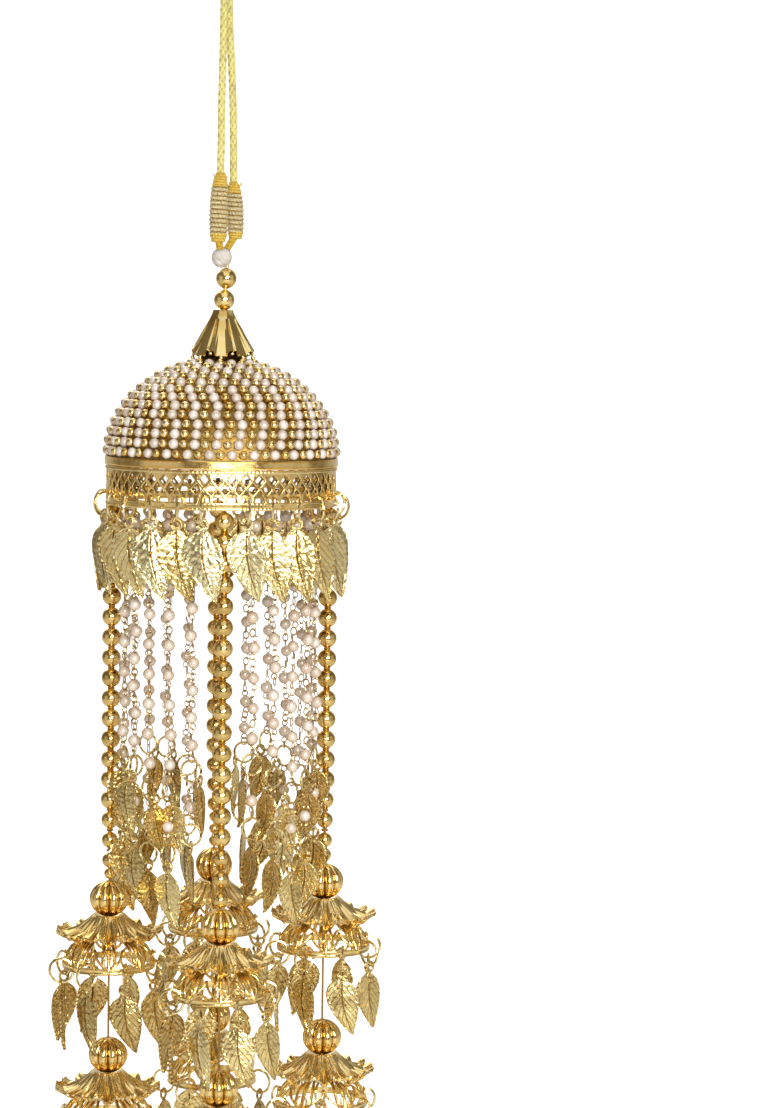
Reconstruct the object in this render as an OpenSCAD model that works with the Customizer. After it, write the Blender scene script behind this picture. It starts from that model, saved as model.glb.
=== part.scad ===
// Kalire bridal ornament: a beaded dome on a braided cord loop, with leaf charms round its pierced
// band, twenty pearl chains and four gold bead strands that carry two tiers of openwork bells.
// Millimetres, +Z up, the front towards -Y, the origin inside the top of the cord's loop.

/* [Overall] */
// Height from the dome's lower rim up to the inside of the cord's loop
rim_drop = 133; // [125:1:160]
// Turn of the strings, rings and leaves about the axis, towards +X at the front
string_turn = 5; // [0:1:12]

/* [Cord and sleeves] */
// Diameter of the braided cord
cord_d = 2.2; // [1.6:0.1:2.6]
// Diameter of the front sleeve at its middle
front_sleeve_d = 5.3; // [4.4:0.1:5.8]
// Length of the front sleeve
front_sleeve_l = 19.4; // [14:0.2:22]
// Diameter of the rear sleeve at its middle
rear_sleeve_d = 4.8; // [4.2:0.1:5.4]
// Length of the rear sleeve
rear_sleeve_l = 16; // [12:0.2:20]
// Diameter of a sleeve's ends, as a share of its middle
sleeve_end_share = 0.8; // [0.7:0.05:0.95]
// Turns of thread wound on a sleeve
sleeve_winds = 13; // [8:1:18]
// Height of each wound turn above the sleeve
wind_h = 0.3; // [0.1:0.05:0.4]
// Diameter of the wound neck below each sleeve
neck_d = 2.2; // [1.6:0.1:2.4]
// Radius of the cord's loop at its top
loop_r = 4.6; // [4.4:0.1:5.5]
// Distance from the front sleeve's axis to the ball's axis, front to back
front_sleeve_y = 2.3; // [2.0:0.1:3]
// Distance from the front sleeve's lower end up from the ball's middle
front_sleeve_up = 4.3; // [3.8:0.1:6]

/* [Thread ball and top beads] */
// Diameter of the ball of metallic thread
ball_d = 5.8; // [5:0.1:6.4]
// Height of the ball's middle above the dome's rim
ball_up = 55.8; // [54.5:0.1:57]
// Distance that the ball sits to the left of the axis
ball_left = 0.6; // [0:0.1:1]
// Diameter of the two round beads over the cap
top_bead_d = 5.8; // [5:0.1:6]
// Diameter of the wire pin through the beads
pin_d = 0.8; // [0.5:0.1:1]
// Lean of the pin's upper stretch to the right, in degrees
pin_lean = 4.6; // [0:0.2:6]
// Diameter of the pin's flat head under the dome
pin_head_d = 4; // [3:0.5:6]

/* [Petal cap] */
// Height of the petal cap
cap_h = 12.6; // [10:0.2:14]
// Diameter of the cap's top
cap_top_d = 5; // [4:0.2:6]
// Diameter of the cap's scalloped rim
cap_rim_d = 17.2; // [14:0.2:20]
// Wall of the cap
cap_wall = 0.6; // [0.5:0.1:1]
// Number of petals embossed on the cap
cap_petals = 8; // [6:1:10]

/* [Beaded dome] */
// Diameter of the dome over its pearls
dome_d = 67.6; // [64:0.2:72]
// Height of the dome over its pearls
dome_h = 28.6; // [25:0.2:32]
// Diameter of the dome's pearls
dome_pearl_d = 3; // [2.4:0.1:3.4]
// Number of beaded rings, from the rim up
dome_rows = 13; // [10:1:13]
// Wall that backs the pearls
dome_backing = 1.2; // [0.8:0.1:2]

/* [Band] */
// Distance that the plain strip stands out past the middles of the dome's lowest pearls
strip_out = 0.7; // [0.4:0.1:1]
// Height of the plain strip
strip_h = 2.5; // [2:0.1:4]
// Distance from the plain strip's outer face in to the pierced band's
band_in = 0.5; // [0.3:0.1:0.8]
// Height of the pierced band
band_h = 11; // [10:0.1:14]
// Wall of the pierced band
band_wall = 1; // [0.8:0.1:1.4]
// Height of a pierced diamond
diamond_h = 3.4; // [2.6:0.1:3.8]
// Width of a pierced diamond
diamond_w = 2.9; // [2:0.1:3.1]
// Height of the solid edge below the openings
edge_h = 2.2; // [1.6:0.1:3]
// Width of the ledge inside the band that the strings hang from
ledge_w = 5.6; // [5.2:0.1:7]
// Thickness of that ledge
ledge_t = 0.7; // [0.5:0.1:0.9]

/* [Jump rings and leaves] */
// Outer diameter of a jump ring
ring_d = 7.5; // [7:0.1:8.5]
// Wire of a jump ring
ring_wire = 0.7; // [0.5:0.1:0.8]
// Distance that a ring's middle swings out from the wall it passes through
ring_swing = 1.6; // [1:0.1:1.8]
// Width of a leaf on the band
leaf_w = 11.5; // [9:0.1:12]
// Length of a leaf's blade on the band
leaf_l = 19.7; // [15:0.1:24]
// Width of a leaf on a bell
bell_leaf_w = 9.5; // [7:0.1:10]
// Length of a leaf's blade on a bell
bell_leaf_l = 16.6; // [12:0.1:18]
// Thickness of a leaf
leaf_t = 0.5; // [0.4:0.05:0.8]
// Height of a leaf's raised midrib above each face
midrib_h = 0.25; // [0.1:0.05:0.4]
// Outer diameter of a leaf's eye
eye_d = 3.9; // [3.6:0.1:4.4]
// Hole in a leaf's eye
eye_hole_d = 1.9; // [1.7:0.1:2.2]

/* [Strings] */
// Distance from the band's outer face in to the gold strands
strand_in = 1.9; // [1.8:0.1:2.3]
// Diameter of a gold bead
bead_d = 5.2; // [4.6:0.1:5.4]
// Distance from one gold bead's middle to the next
bead_pitch = 5.8; // [5.6:0.1:6.4]
// Number of gold beads on the left strand
bead_count = 18; // [12:1:19]
// Gap between the band's lower edge and the first gold bead
first_bead_gap = 0.5; // [0.3:0.1:3]
// Diameter of the thread through the beads
thread_d = 0.6; // [0.4:0.1:0.7]
// Distance from the band's outer face in to the pearl chains
chain_in = 4.5; // [4.2:0.1:5]
// Diameter of a pearl chain
chain_d = 3.5; // [2.6:0.1:3.6]
// Depth of a pearl chain's top under the dome's rim
chain_top_drop = 16; // [15:0.5:18]
// Length of the shortest pearl chain
chain_l = 80; // [60:1:84]
// Added length of the longest pearl chain
chain_spread = 9; // [0:1:16]

/* [Pendants] */
// Number of bell tiers on each gold strand
tiers = 2; // [1:1:2]
// Distance from one tier to the next
tier_pitch = 45.2; // [44:0.2:50]
// Diameter of a melon bead
melon_d = 11; // [9:0.2:12]
// Height of a melon bead
melon_h = 10.3; // [8:0.1:10.6]
// Depth of a melon bead's flutes
flute_depth = 0.45; // [0.2:0.05:0.7]
// Diameter of a flower cap over its petals
flower_d = 30; // [26:0.5:32]
// Height of a flower cap
flower_h = 6; // [4.5:0.1:7]
// Wall of a flower cap
flower_wall = 0.6; // [0.5:0.1:0.9]
// Outer diameter of a bell
bell_d = 26.4; // [22:0.2:28]
// Depth of a bell's rim below the top of its flower cap
bell_drop = 15.5; // [14:0.1:18]
// Wall of a bell
bell_wall = 0.9; // [0.7:0.1:1.2]
// Height of the solid rim below a bell's openings
bell_rim_h = 1.9; // [1.4:0.1:2.6]

/* [Fits] */
// Gap between pieces that rest on each other
seat_gap = 0.12; // [0.05:0.01:0.2]
// Gap all round a thread, pin or wire in its hole
bore_gap = 0.15; // [0.1:0.01:0.25]

/* [Hidden] */
SIDES = ["front", "right", "back", "left"];
QUARTERS = ["front_right", "back_right", "back_left", "front_left"];
gold = "goldenrod";
pale_gold = "khaki";
cream = "antiquewhite";
bead_fn = 48;
wire_fn = 24;
slip = 0.01; // overlap of pieces that are cut or joined

// The cord's route at each side of its loop: x, distance from the axis as a share of the loop's
// radius, and share of the way up from a sleeve's top to the inside of the loop. All are round
// numbers chosen by hand.
FRONT_SLEEVE = [-1.5, 0];
REAR_SLEEVE = [3.3, 1.9];
CORD_UP = [
    [-1.3, 0.65, 0.17], [-0.9, 0.85, 0.38], [-0.6, 0.96, 0.56], [-0.5, 1, 0.72], [-0.45, 1.02, 0.84]
];
CORD_DOWN = [[0.6, 1.02, 0.84], [0.9, 1, 0.72], [1.4, 0.96, 0.56], [2, 0.83, 0.38], [2.8, 0.61, 0.17]];
LOOP_ANGLES = [0, 45, 90, 135, 180];
loop_x = 0.05; // x of the loop's top
loop_lean = 0.4; // how far the loop's front leans to the left and its back to the right
cord_sides = 8;
cord_steps = 2;

// Heights, from the inside of the loop down
rim_z = -rim_drop;
ball_z = rim_z + ball_up;
front_sleeve_z = ball_z + front_sleeve_up;
rear_sleeve_lift = 1;
rear_sleeve_z = front_sleeve_z + rear_sleeve_lift;
strip_z = rim_z - seat_gap - strip_h;
band_top_z = strip_z - seat_gap;
band_z = band_top_z - band_h;
sill_z = band_z + edge_h;

// The dome: pearl rows lie on an ellipse through the pearls' middles
pearl_r = dome_pearl_d / 2;
row_a = dome_d / 2 - pearl_r;
row_b = dome_h - pearl_r;
cap_rim_r = cap_rim_d / 2;
cap_cover = 0.86; // share of the cap's rim radius that has no pearls under it
covered_r = cap_cover * cap_rim_r;
first_row = asin(pearl_r / row_b);
last_row = acos(covered_r / row_a);
row_step = (last_row - first_row) / (dome_rows - 0.5);
BUMP_ANGLES = [-75, -30, 0, 30, 75]; // corners of a ring of pearls, about its own middle
crown_out = 0.55 * pearl_r; // the bare crown over the last ring stands out this far
dome_top_z = rim_z + row_b + crown_out;
cap_lift = 1.1 * pearl_r; // the cap's rim clears the last ring's middles by this much
cap_seat_z = rim_z + row_b * sin(last_row) + cap_lift + seat_gap;
cap_top_z = cap_seat_z + cap_h;

// The pin and its beads lean together from the cap's top
bead_stack = top_bead_d / 2 + seat_gap;
bead_clear = 0.2; // gap that the lean needs between the cap and the lower bead
lower_bead_up = bead_stack + bead_clear;
upper_bead_up = lower_bead_up + 2 * bead_stack;
pin_short = 0.16 * ball_d; // the pin ends this far below the ball's middle
pin_up = (ball_z - cap_top_z) / cos(pin_lean) - pin_short;
pin_bend = 1.2; // size of the pin's bend at the cap, as a share of its wire
ball_at = [-ball_left, 0, ball_z];

// The cap: how it flares, how far its valleys draw in and how deep its scallops are
cap_flare = 1.15;
cap_waist = 0.09;
cap_scallop = 0.1;

// The strip, the band and the strings follow the dome's edge
strip_in_r = row_a - dome_backing;
strip_r = row_a + strip_out;
band_r = strip_r - band_in;
strand_r = band_r - strand_in;
chain_r = band_r - chain_in;

// The lattice has thirteen columns in each quarter, and a ring in every second one
quarter_columns = 13;
columns = 4 * quarter_columns;
column_step = 360 / columns;
rings_per_quarter = 6;
chains_per_quarter = rings_per_quarter - 1;
band_mid_r = band_r - band_wall / 2;
lip_h = 1; // the lip at the band's top, how far it stands out and the height of its slopes
lip_out = 0.25;
lip_slope = 0.3;
lip_to_row = 0.1;
top_row_z = band_top_z - lip_h - lip_to_row - diamond_h / 2;
row_drop = 0.05 * diamond_h; // the middle row sits this far below the middle of its neighbours
middle_row_z = (top_row_z + sill_z + diamond_h / 2) / 2 - row_drop;
DIAMOND = [[-0.5, 0], [0, -0.5], [0.5, 0], [0, 0.5]]; // shares of width and height
ARCH = [[-0.56, 0], [0.56, 0], [0.22, 0.8], [0, 1], [-0.22, 0.8]];
SLOT = [[-0.3, 0], [0.3, 0], [0.34, 0.3], [0.28, 0.65], [0.12, 0.95], [-0.12, 0.95], [-0.28, 0.65],
    [-0.34, 0.3]];
ring_r = (ring_d - ring_wire) / 2;
ring_inner_r = ring_r - ring_wire / 2;
ledge_clear = 0.45; // between the wire of a ring on the sill and the ledge above it
ledge_z = sill_z + 1.5 * ring_wire + ledge_clear;
LEAF_TWIST = [0, 26, 30, 24, 32, 24]; // of the leaves in a quarter, in degrees
BELL_TWIST = 30;

// A leaf: how far down its blade, then its left and right edge and its midrib, as shares of its
// length and width
LEAF_ROWS = [
    [0.00, -0.04, 0.04, 0.00], [0.05, -0.24, 0.20, 0.00], [0.14, -0.42, 0.36, -0.01],
    [0.26, -0.50, 0.46, -0.01], [0.40, -0.47, 0.50, 0.01], [0.54, -0.37, 0.50, 0.06],
    [0.68, -0.21, 0.47, 0.13], [0.82, -0.02, 0.42, 0.22], [0.93, 0.17, 0.37, 0.29],
    [1.00, 0.32, 0.34, 0.33]
];

// A flower cap: share of its radius, share of its height down, share of its ripple
FLOWER_ROWS = [[0.42, 0.34, 0.35], [0.64, 0.80, 0.8], [0.85, 1.00, 1], [1.00, 0.78, 1]];
blade_in_eye = 0.35; // overlap of a leaf's blade and its eye
rib_share = 0.07; // width of a leaf's midrib, its taper and its reach, as shares
rib_taper = 0.8;
rib_reach = 0.96;
flower_petals = 8;
petal_parts = 4; // valley, lobe, notch, lobe
flower_ripple = 0.9;
cup_sink = 1.15;
cup_r = sqrt(pow(melon_d / 2, 2) - pow(melon_h / 2 - cup_sink, 2)) + 2 * seat_gap;
thread_hole_r = thread_d / 2 + bore_gap;
head_r = 1.3 * thread_d; // knots over the ledge, and under the bells
knot_r = 1.8 * thread_d;
melon_flutes = 10;
flute_cut_r = 0.9;
flute_reach = 52; // degrees above and below a melon bead's middle
bell_hub_r = 2;

// A bell: share of its radius, share of the way down from the flower's hub
BELL_ROWS = [[0.34, 0.32], [0.58, 0.42], [0.80, 0.55], [0.93, 0.74], [0.985, 0.88], [1.00, 1.00]];
bell_hub_drop = cup_sink + flower_wall + 2 * seat_gap;
bell_r = bell_d / 2;
BELL_RINGS = [8, 6]; // rings and openings on a bell of each tier
bell_slot_z = 0.5;
slot_from = 0.4; // an opening is cut from this share of the bell's radius to the next
slot_to = 1.3;
bell_thinning = 0.8; // share of its wall that a bell loses in height towards its rim

melon_clear = 0.3; // between a strand's last bead and the melon bead
EXTRA_BEADS = [1, -1, -2, 0]; // how many beads more each side's strand has
BARE_THREAD = [0, 0.75, 1.85, 0.6]; // thread above each side's melon bead, as a share of the pitch
SMALL_BEADS = [0.92, 0.86, 0.8]; // share of the last beads on a strand

// Shared shapes and formulas
function unit(v) = v / norm(v);
function along(a, b, share) = a + (b - a) * share;
function bend(a, b, c, d, t) =
    0.5 * ((2 * b) + (c - a) * t + (2 * a - 5 * b + 4 * c - d) * t * t + (3 * b - a - 3 * c + d) * t * t * t);
function smooth_line(p, steps) =
    let (last = len(p) - 1)
    [for (i = [0:last - 1], s = [0:steps - 1])
        bend(p[max(i - 1, 0)], p[i], p[i + 1], p[min(i + 2, last)], s / steps), p[last]];
function line_ring(p, way, r, sides) =
    let (u = unit(cross(way, [1, 0, 0])), v = cross(way, u))
    [for (i = [0:sides - 1]) p + r * (cos(360 * i / sides) * u + sin(360 * i / sides) * v)];
function line_way(p, i) =
    i == 0 ? [0, 0, p[1][2] > p[0][2] ? 1 : -1]
    : i == len(p) - 1 ? [0, 0, p[i][2] > p[i - 1][2] ? 1 : -1]
    : unit(p[i + 1] - p[i - 1]);
function grid_faces(rows, sides) = [
    for (i = [0:rows - 2], j = [0:sides - 1])
        let (k = (j + 1) % sides)
        each [[i * sides + j, i * sides + k, (i + 1) * sides + k],
              [i * sides + j, (i + 1) * sides + k, (i + 1) * sides + j]]
];

module tube(p, d, sides) {
    rings = [for (i = [0:len(p) - 1]) line_ring(p[i], line_way(p, i), d / 2, sides)];
    last = (len(p) - 1) * sides;
    polyhedron(
        points = [for (ring = rings) each ring],
        faces = concat(
            [[for (j = [0:sides - 1]) j]],
            [for (f = grid_faces(len(p), sides)) [f[2], f[1], f[0]]],
            [[for (j = [sides - 1:-1:0]) last + j]]
        )
    );
}

// A closed skin between two grids that share their first and last rows' places
module skin(outer, inner, sides) {
    rows = len(outer);
    n = rows * sides;
    flip = [for (f = grid_faces(rows, sides)) [f[2] + n, f[1] + n, f[0] + n]];
    function edge(row, turned) = [
        for (j = [0:sides - 1])
            let (k = (j + 1) % sides, a = row * sides + j, b = row * sides + k)
            each turned ? [[a, a + n, b + n], [a, b + n, b]] : [[a, b, b + n], [a, b + n, a + n]]
    ];
    polyhedron(
        points = concat([for (r = outer) each r], [for (r = inner) each r]),
        faces = concat(grid_faces(rows, sides), flip, edge(0, true), edge(rows - 1, false))
    );
}

module rod(a, b, d) {
    v = b - a;
    translate(a)
        rotate([0, acos(v[2] / norm(v)), atan2(v[1], v[0])])
            cylinder(h = norm(v), d = d, $fn = bead_fn);
}

module wire_ring() {
    rotate([0, 90, 0])
        rotate_extrude($fn = bead_fn)
            translate([ring_r, 0])
                circle(d = ring_wire, $fn = wire_fn);
}

// A leaf in the XZ plane, its eye's middle at the origin
module leaf(w, l) {
    blade_top = -eye_d / 2 + blade_in_eye;
    left = [for (r = LEAF_ROWS) [r[1] * w, blade_top - r[0] * l]];
    right = [for (i = [len(LEAF_ROWS) - 1:-1:0]) [LEAF_ROWS[i][2] * w, blade_top - LEAF_ROWS[i][0] * l]];
    function rib_half(down) = rib_share * w * (1 - rib_taper * down) / 2;
    rib_left = [for (r = LEAF_ROWS) [r[3] * w - rib_half(r[0]), blade_top - r[0] * l * rib_reach]];
    rib_right = [
        for (i = [len(LEAF_ROWS) - 1:-1:0])
            let (r = LEAF_ROWS[i])
            [r[3] * w + rib_half(r[0]), blade_top - r[0] * l * rib_reach]
    ];
    difference() {
        union() {
            rotate([90, 0, 0])
                linear_extrude(leaf_t, center = true)
                    polygon(concat(left, right));
            rotate([90, 0, 0])
                linear_extrude(leaf_t + 2 * midrib_h, center = true)
                    polygon(concat(rib_left, rib_right));
            rotate([90, 0, 0])
                cylinder(h = leaf_t + 0.2, d = eye_d, center = true, $fn = bead_fn);
        }
        rotate([90, 0, 0])
            cylinder(h = 4 * leaf_t, d = eye_hole_d, center = true, $fn = wire_fn);
    }
}

// Depth of a ring's middle under the sill that it hangs on, where the wall's inner face is wall_in
// from the ring's middle
function ring_hang(wall_in) = sqrt(pow(ring_inner_r - bore_gap, 2) - pow(wall_in, 2));
eye_hang = ring_r + eye_hole_d / 2 - ring_wire / 2 - seat_gap;

// What hangs at a wall in front of the axis, turned about the place where it passes the wall
module at_wall(angle, wall_r, twist, depth) {
    rotate([0, 0, angle])
        translate([0, -wall_r, 0])
            rotate([0, 0, -twist])
                translate([0, -ring_swing, depth])
                    children();
}

function ring_angle(quarter, j) = string_turn + 90 * quarter + (2 * j + 1.5) * column_step;
band_ring_z = sill_z - ring_hang(band_wall / 2 + ring_swing);

// The leaves of each two quarters turn towards the strand between them, at the front and at the back
function leaf_twist(quarter, j) =
    quarter % 2 == 0 ? LEAF_TWIST[j] : -LEAF_TWIST[rings_per_quarter - 1 - j];

// Pieces of the cord and its sleeves
function sleeve_at(front) =
    front ? [FRONT_SLEEVE[0], -front_sleeve_y, front_sleeve_z]
    : [REAR_SLEEVE[0], REAR_SLEEVE[1], rear_sleeve_z];

function cord_route() =
    let (
        a = sleeve_at(true) + [0, 0, front_sleeve_l],
        b = sleeve_at(false) + [0, 0, rear_sleeve_l],
        middle_z = cord_d / 2 - loop_r
    )
    concat(
        [a, a + [0, 0, cord_d]],
        [for (r = CORD_UP) [r[0], -r[1] * loop_r, along(a[2] + cord_d, 0, r[2])]],
        [for (t = LOOP_ANGLES) [loop_x - loop_lean * cos(t), -loop_r * cos(t), middle_z + loop_r * sin(t)]],
        [for (r = CORD_DOWN) [r[0], r[1] * loop_r, along(b[2] + cord_d, 0, r[2])]],
        [b + [0, 0, cord_d], b]
    );

module cord_loop() {
    color(pale_gold) tube(smooth_line(cord_route(), cord_steps), cord_d, cord_sides);
}

module sleeve(at, d, l) {
    end_r = d * sleeve_end_share / 2;
    wind = l / sleeve_winds;
    function barrel(share) = end_r + (d / 2 - wind_h - end_r) * sin(180 * share);
    turns = [
        for (i = [0:sleeve_winds - 1], s = [0, 0.25, 0.5, 0.75])
            [barrel((i + s) / sleeve_winds) + wind_h * sin(180 * s), (i + s) * wind]
    ];
    color(pale_gold) {
        translate(at)
            rotate_extrude($fn = bead_fn)
                polygon(concat([[0, 0]], turns, [[end_r, l], [0, l]]));
        neck_top = at + [0, 0, neck_d / 2];
        rod(neck_top, ball_at + unit(neck_top - ball_at) * (ball_d / 2 + seat_gap), neck_d);
    }
}

module sleeve_front() {
    sleeve(sleeve_at(true), front_sleeve_d, front_sleeve_l);
}

module sleeve_rear() {
    sleeve(sleeve_at(false), rear_sleeve_d, rear_sleeve_l);
}

module on_pin() {
    translate([0, 0, cap_top_z])
        rotate([0, pin_lean, 0])
            children();
}

module pin_bore() {
    on_pin()
        cylinder(h = pin_up + bore_gap, r = pin_d / 2 + bore_gap, $fn = wire_fn);
}

module thread_ball() {
    color("gainsboro")
        difference() {
            translate(ball_at) sphere(d = ball_d, $fn = bead_fn);
            pin_bore();
        }
}

module top_bead(up) {
    color(gold)
        difference() {
            on_pin() translate([0, 0, up]) sphere(d = top_bead_d, $fn = bead_fn);
            pin_bore();
        }
}

module head_pin() {
    head_z = rim_z + row_b - dome_backing - seat_gap;
    color(gold) {
        on_pin() cylinder(h = pin_up, d = pin_d, $fn = wire_fn);
        translate([0, 0, head_z - slip]) cylinder(h = cap_top_z - head_z + slip, d = pin_d, $fn = wire_fn);
        translate([0, 0, cap_top_z]) sphere(d = pin_bend * pin_d, $fn = wire_fn);
        translate([0, 0, head_z - pin_d]) cylinder(h = pin_d, d = pin_head_d, $fn = wire_fn);
    }
}

// The cap: petals swell between their valleys and end in round scallops
module petal_cap() {
    sides = cap_petals * 6;
    rows = 5;
    hole_r = pin_d / 2 + bore_gap;
    function swell(j) = abs(sin(180 * cap_petals * j / sides));
    function cap_r(share, j) =
        along(cap_top_d / 2, cap_rim_r, pow(share, cap_flare)) * (1 - cap_waist * share * (1 - swell(j)));
    function cap_z(share, j) =
        cap_top_z - seat_gap - cap_h * share * (1 - cap_scallop * share * (1 - swell(j)));
    function place(r, j, z) = [r * cos(360 * j / sides), r * sin(360 * j / sides), z];
    flat = [for (j = [0:sides - 1]) place(hole_r, j, cap_top_z - seat_gap)];
    flat_under = [for (j = [0:sides - 1]) place(hole_r, j, cap_top_z - seat_gap - cap_wall)];
    outer = [
        for (i = [0:rows])
            [for (j = [0:sides - 1]) place(cap_r(i / rows, j), j, cap_z(i / rows, j))]
    ];
    inner = [
        for (i = [0:rows])
            [for (j = [0:sides - 1])
                place(cap_r(i / rows, j) - cap_wall, j, cap_z(i / rows, j) - (i == 0 ? cap_wall : 0))]
    ];
    color(gold) skin(concat([flat], outer), concat([flat_under], inner), sides);
}

// The dome: a shell whose outer face follows the rings of pearls
module dome_shell() {
    function on_row(k) = first_row + row_step * k;
    function row_at(angle, out) = [(row_a + out) * cos(angle), (row_b + out) * sin(angle)];
    bumps = [
        for (k = [0:dome_rows - 1], s = BUMP_ANGLES)
            let (a = on_row(k), n = atan2(row_a * sin(a), row_b * cos(a)))
            row_at(a, 0) + pearl_r * [cos(n + s), sin(n + s)]
    ];
    cap_steps = 3;
    crown = [for (i = [1:cap_steps]) row_at(along(last_row, 90, i / cap_steps), crown_out)];
    inner_steps = 14;
    inside = [for (i = [inner_steps:-1:0]) row_at(90 * i / inner_steps, -dome_backing)];
    color(cream)
        translate([0, 0, rim_z])
            difference() {
                rotate_extrude($fn = 96)
                    polygon(concat([[row_a, 0]], bumps, crown, inside));
                translate([0, 0, dome_h / 2])
                    cylinder(h = dome_h, r = pin_d / 2 + bore_gap, $fn = wire_fn);
            }
}

module rim_strip() {
    color(gold)
        translate([0, 0, strip_z])
            difference() {
                cylinder(h = strip_h, r = strip_r, $fn = 96);
                translate([0, 0, -slip]) cylinder(h = strip_h + 2 * slip, r = strip_in_r, $fn = 96);
            }
}

// An opening cut outwards through a wall in front of the axis, from a table of shares of its size
module opening(angle, z, inside_r, outside_r, w, h, shares) {
    rotate([0, 0, angle])
        translate([0, -inside_r, z])
            rotate([90, 0, 0])
                linear_extrude(outside_r - inside_r)
                    polygon([for (p = shares) [p[0] * w, p[1] * h]]);
}

module lattice_band() {
    cut_in = band_r - 2 * band_wall;
    cut_out = band_r + 2 * band_wall;
    color(gold) {
        difference() {
            rotate_extrude($fn = 96)
                polygon([
                    [band_r - band_wall, band_z], [band_r, band_z], [band_r, band_top_z - lip_h - lip_slope],
                    [band_r + lip_out, band_top_z - lip_h], [band_r + lip_out, band_top_z - lip_slope],
                    [band_r, band_top_z], [band_r - band_wall, band_top_z]
                ]);
            for (k = [0:columns - 1]) {
                opening(string_turn + (k + 0.5) * column_step, top_row_z, cut_in, cut_out,
                    diamond_w, diamond_h, DIAMOND);
                opening(string_turn + k * column_step, middle_row_z, cut_in, cut_out,
                    diamond_w, diamond_h, DIAMOND);
            }
            for (quarter = [0:3], j = [0:rings_per_quarter - 1])
                opening(ring_angle(quarter, j), sill_z, cut_in, cut_out, diamond_w, diamond_h, ARCH);
        }
        ledge();
    }
}

// The ledge carries the strings, each through its own hole
module ledge() {
    translate([0, 0, ledge_z])
        difference() {
            cylinder(h = ledge_t, r = band_r - band_wall + slip, $fn = 96);
            translate([0, 0, -slip])
                cylinder(h = ledge_t + 2 * slip, r = band_r - band_wall - ledge_w, $fn = 96);
            for (quarter = [0:3]) {
                rotate([0, 0, string_turn + 90 * quarter])
                    translate([0, -strand_r, -slip])
                        cylinder(h = ledge_t + 2 * slip, r = thread_hole_r, $fn = wire_fn);
                for (j = [0:chains_per_quarter - 1])
                    rotate([0, 0, chain_angle(quarter, j)])
                        translate([0, -chain_r, -slip])
                            cylinder(h = ledge_t + 2 * slip, r = thread_hole_r, $fn = wire_fn);
            }
        }
}

module band_rings() {
    color(gold)
        for (quarter = [0:3], j = [0:rings_per_quarter - 1])
            at_wall(ring_angle(quarter, j), band_mid_r, leaf_twist(quarter, j), band_ring_z)
                wire_ring();
}

module band_leaves() {
    color(gold)
        for (quarter = [0:3], j = [0:rings_per_quarter - 1])
            at_wall(ring_angle(quarter, j), band_mid_r, leaf_twist(quarter, j), band_ring_z - eye_hang)
                leaf(leaf_w, leaf_l);
}

// Strings: a pearl chain hangs between each two rings of a quarter
function chain_angle(quarter, j) = string_turn + 90 * quarter + (2 * j + 2.5) * column_step;
function chain_length(quarter, j) =
    chain_l + chain_spread * (0.5 - 0.5 * cos(360 * (0.23 * j + 0.31 * quarter)));

module pearl_chains(quarter) {
    color(cream)
        for (j = [0:chains_per_quarter - 1])
            rotate([0, 0, chain_angle(quarter, j)])
                translate([0, -chain_r, 0]) {
                    top = rim_z - chain_top_drop;
                    bottom = top - chain_length(quarter, j);
                    tube([for (s = [0:3]) [0, 0, along(bottom, top, s / 3)]], chain_d, cord_sides);
                    knot_z = ledge_z + ledge_t + seat_gap + head_r;
                    translate([0, 0, top - thread_d])
                        cylinder(h = knot_z - top + thread_d, d = thread_d, $fn = wire_fn);
                    translate([0, 0, knot_z]) sphere(r = head_r, $fn = wire_fn);
                }
}

module at_strand(side) {
    rotate([0, 0, string_turn + 90 * side])
        translate([0, -strand_r, rim_z])
            children();
}

// A strand's beads, the last three of them smaller
function beads_on(side) = bead_count + EXTRA_BEADS[side];
function bead_z(i) = band_z - rim_z - first_bead_gap - bead_d / 2 - bead_pitch * i;
function bead_share(up) = up < 3 ? SMALL_BEADS[2 - up] : 1;

module strand_beads(side) {
    color(gold)
        at_strand(side)
            for (i = [0:beads_on(side) - 1])
                translate([0, 0, bead_z(i)])
                    difference() {
                        sphere(d = bead_d * bead_share(beads_on(side) - 1 - i), $fn = bead_fn);
                        cylinder(h = 2 * bead_d, r = thread_hole_r, center = true, $fn = wire_fn);
                    }
}

function strand_end_z(side) =
    bead_z(beads_on(side) - 1) - bead_share(0) * bead_d / 2 - BARE_THREAD[side] * bead_pitch;
function melon_z(side, tier) = strand_end_z(side) - melon_clear - melon_h / 2 - tier_pitch * tier;
function flower_z(side, tier) = melon_z(side, tier) - melon_h / 2 + cup_sink - seat_gap;

module strand_thread(side) {
    top = ledge_z - rim_z + ledge_t + seat_gap + head_r;
    end = bell_under_z(side, tiers - 1) - 2 * knot_r;
    color(pale_gold)
        at_strand(side) {
            translate([0, 0, end]) cylinder(h = top - end, d = thread_d, $fn = wire_fn);
            translate([0, 0, top]) sphere(r = head_r, $fn = wire_fn);
            for (tier = [0:tiers - 1])
                translate([0, 0, bell_under_z(side, tier) - knot_r - seat_gap])
                    sphere(r = knot_r, $fn = wire_fn);
        }
}

// Pendants
module melon(side, tier) {
    color(gold)
        at_strand(side)
            translate([0, 0, melon_z(side, tier)])
                difference() {
                    intersection() {
                        sphere(d = melon_d, $fn = bead_fn);
                        cylinder(h = melon_h, d = 2 * melon_d, center = true, $fn = bead_fn);
                    }
                    cylinder(h = 2 * melon_h, r = thread_hole_r, center = true, $fn = wire_fn);
                    for (i = [0:melon_flutes - 1])
                        rotate([0, 0, 360 * i / melon_flutes])
                            rotate([90, 0, 0])
                                rotate([0, 0, -flute_reach])
                                    rotate_extrude(angle = 2 * flute_reach, $fn = bead_fn)
                                        translate([melon_d / 2 + flute_cut_r - flute_depth, 0])
                                            circle(r = flute_cut_r, $fn = wire_fn);
                }
}

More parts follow.
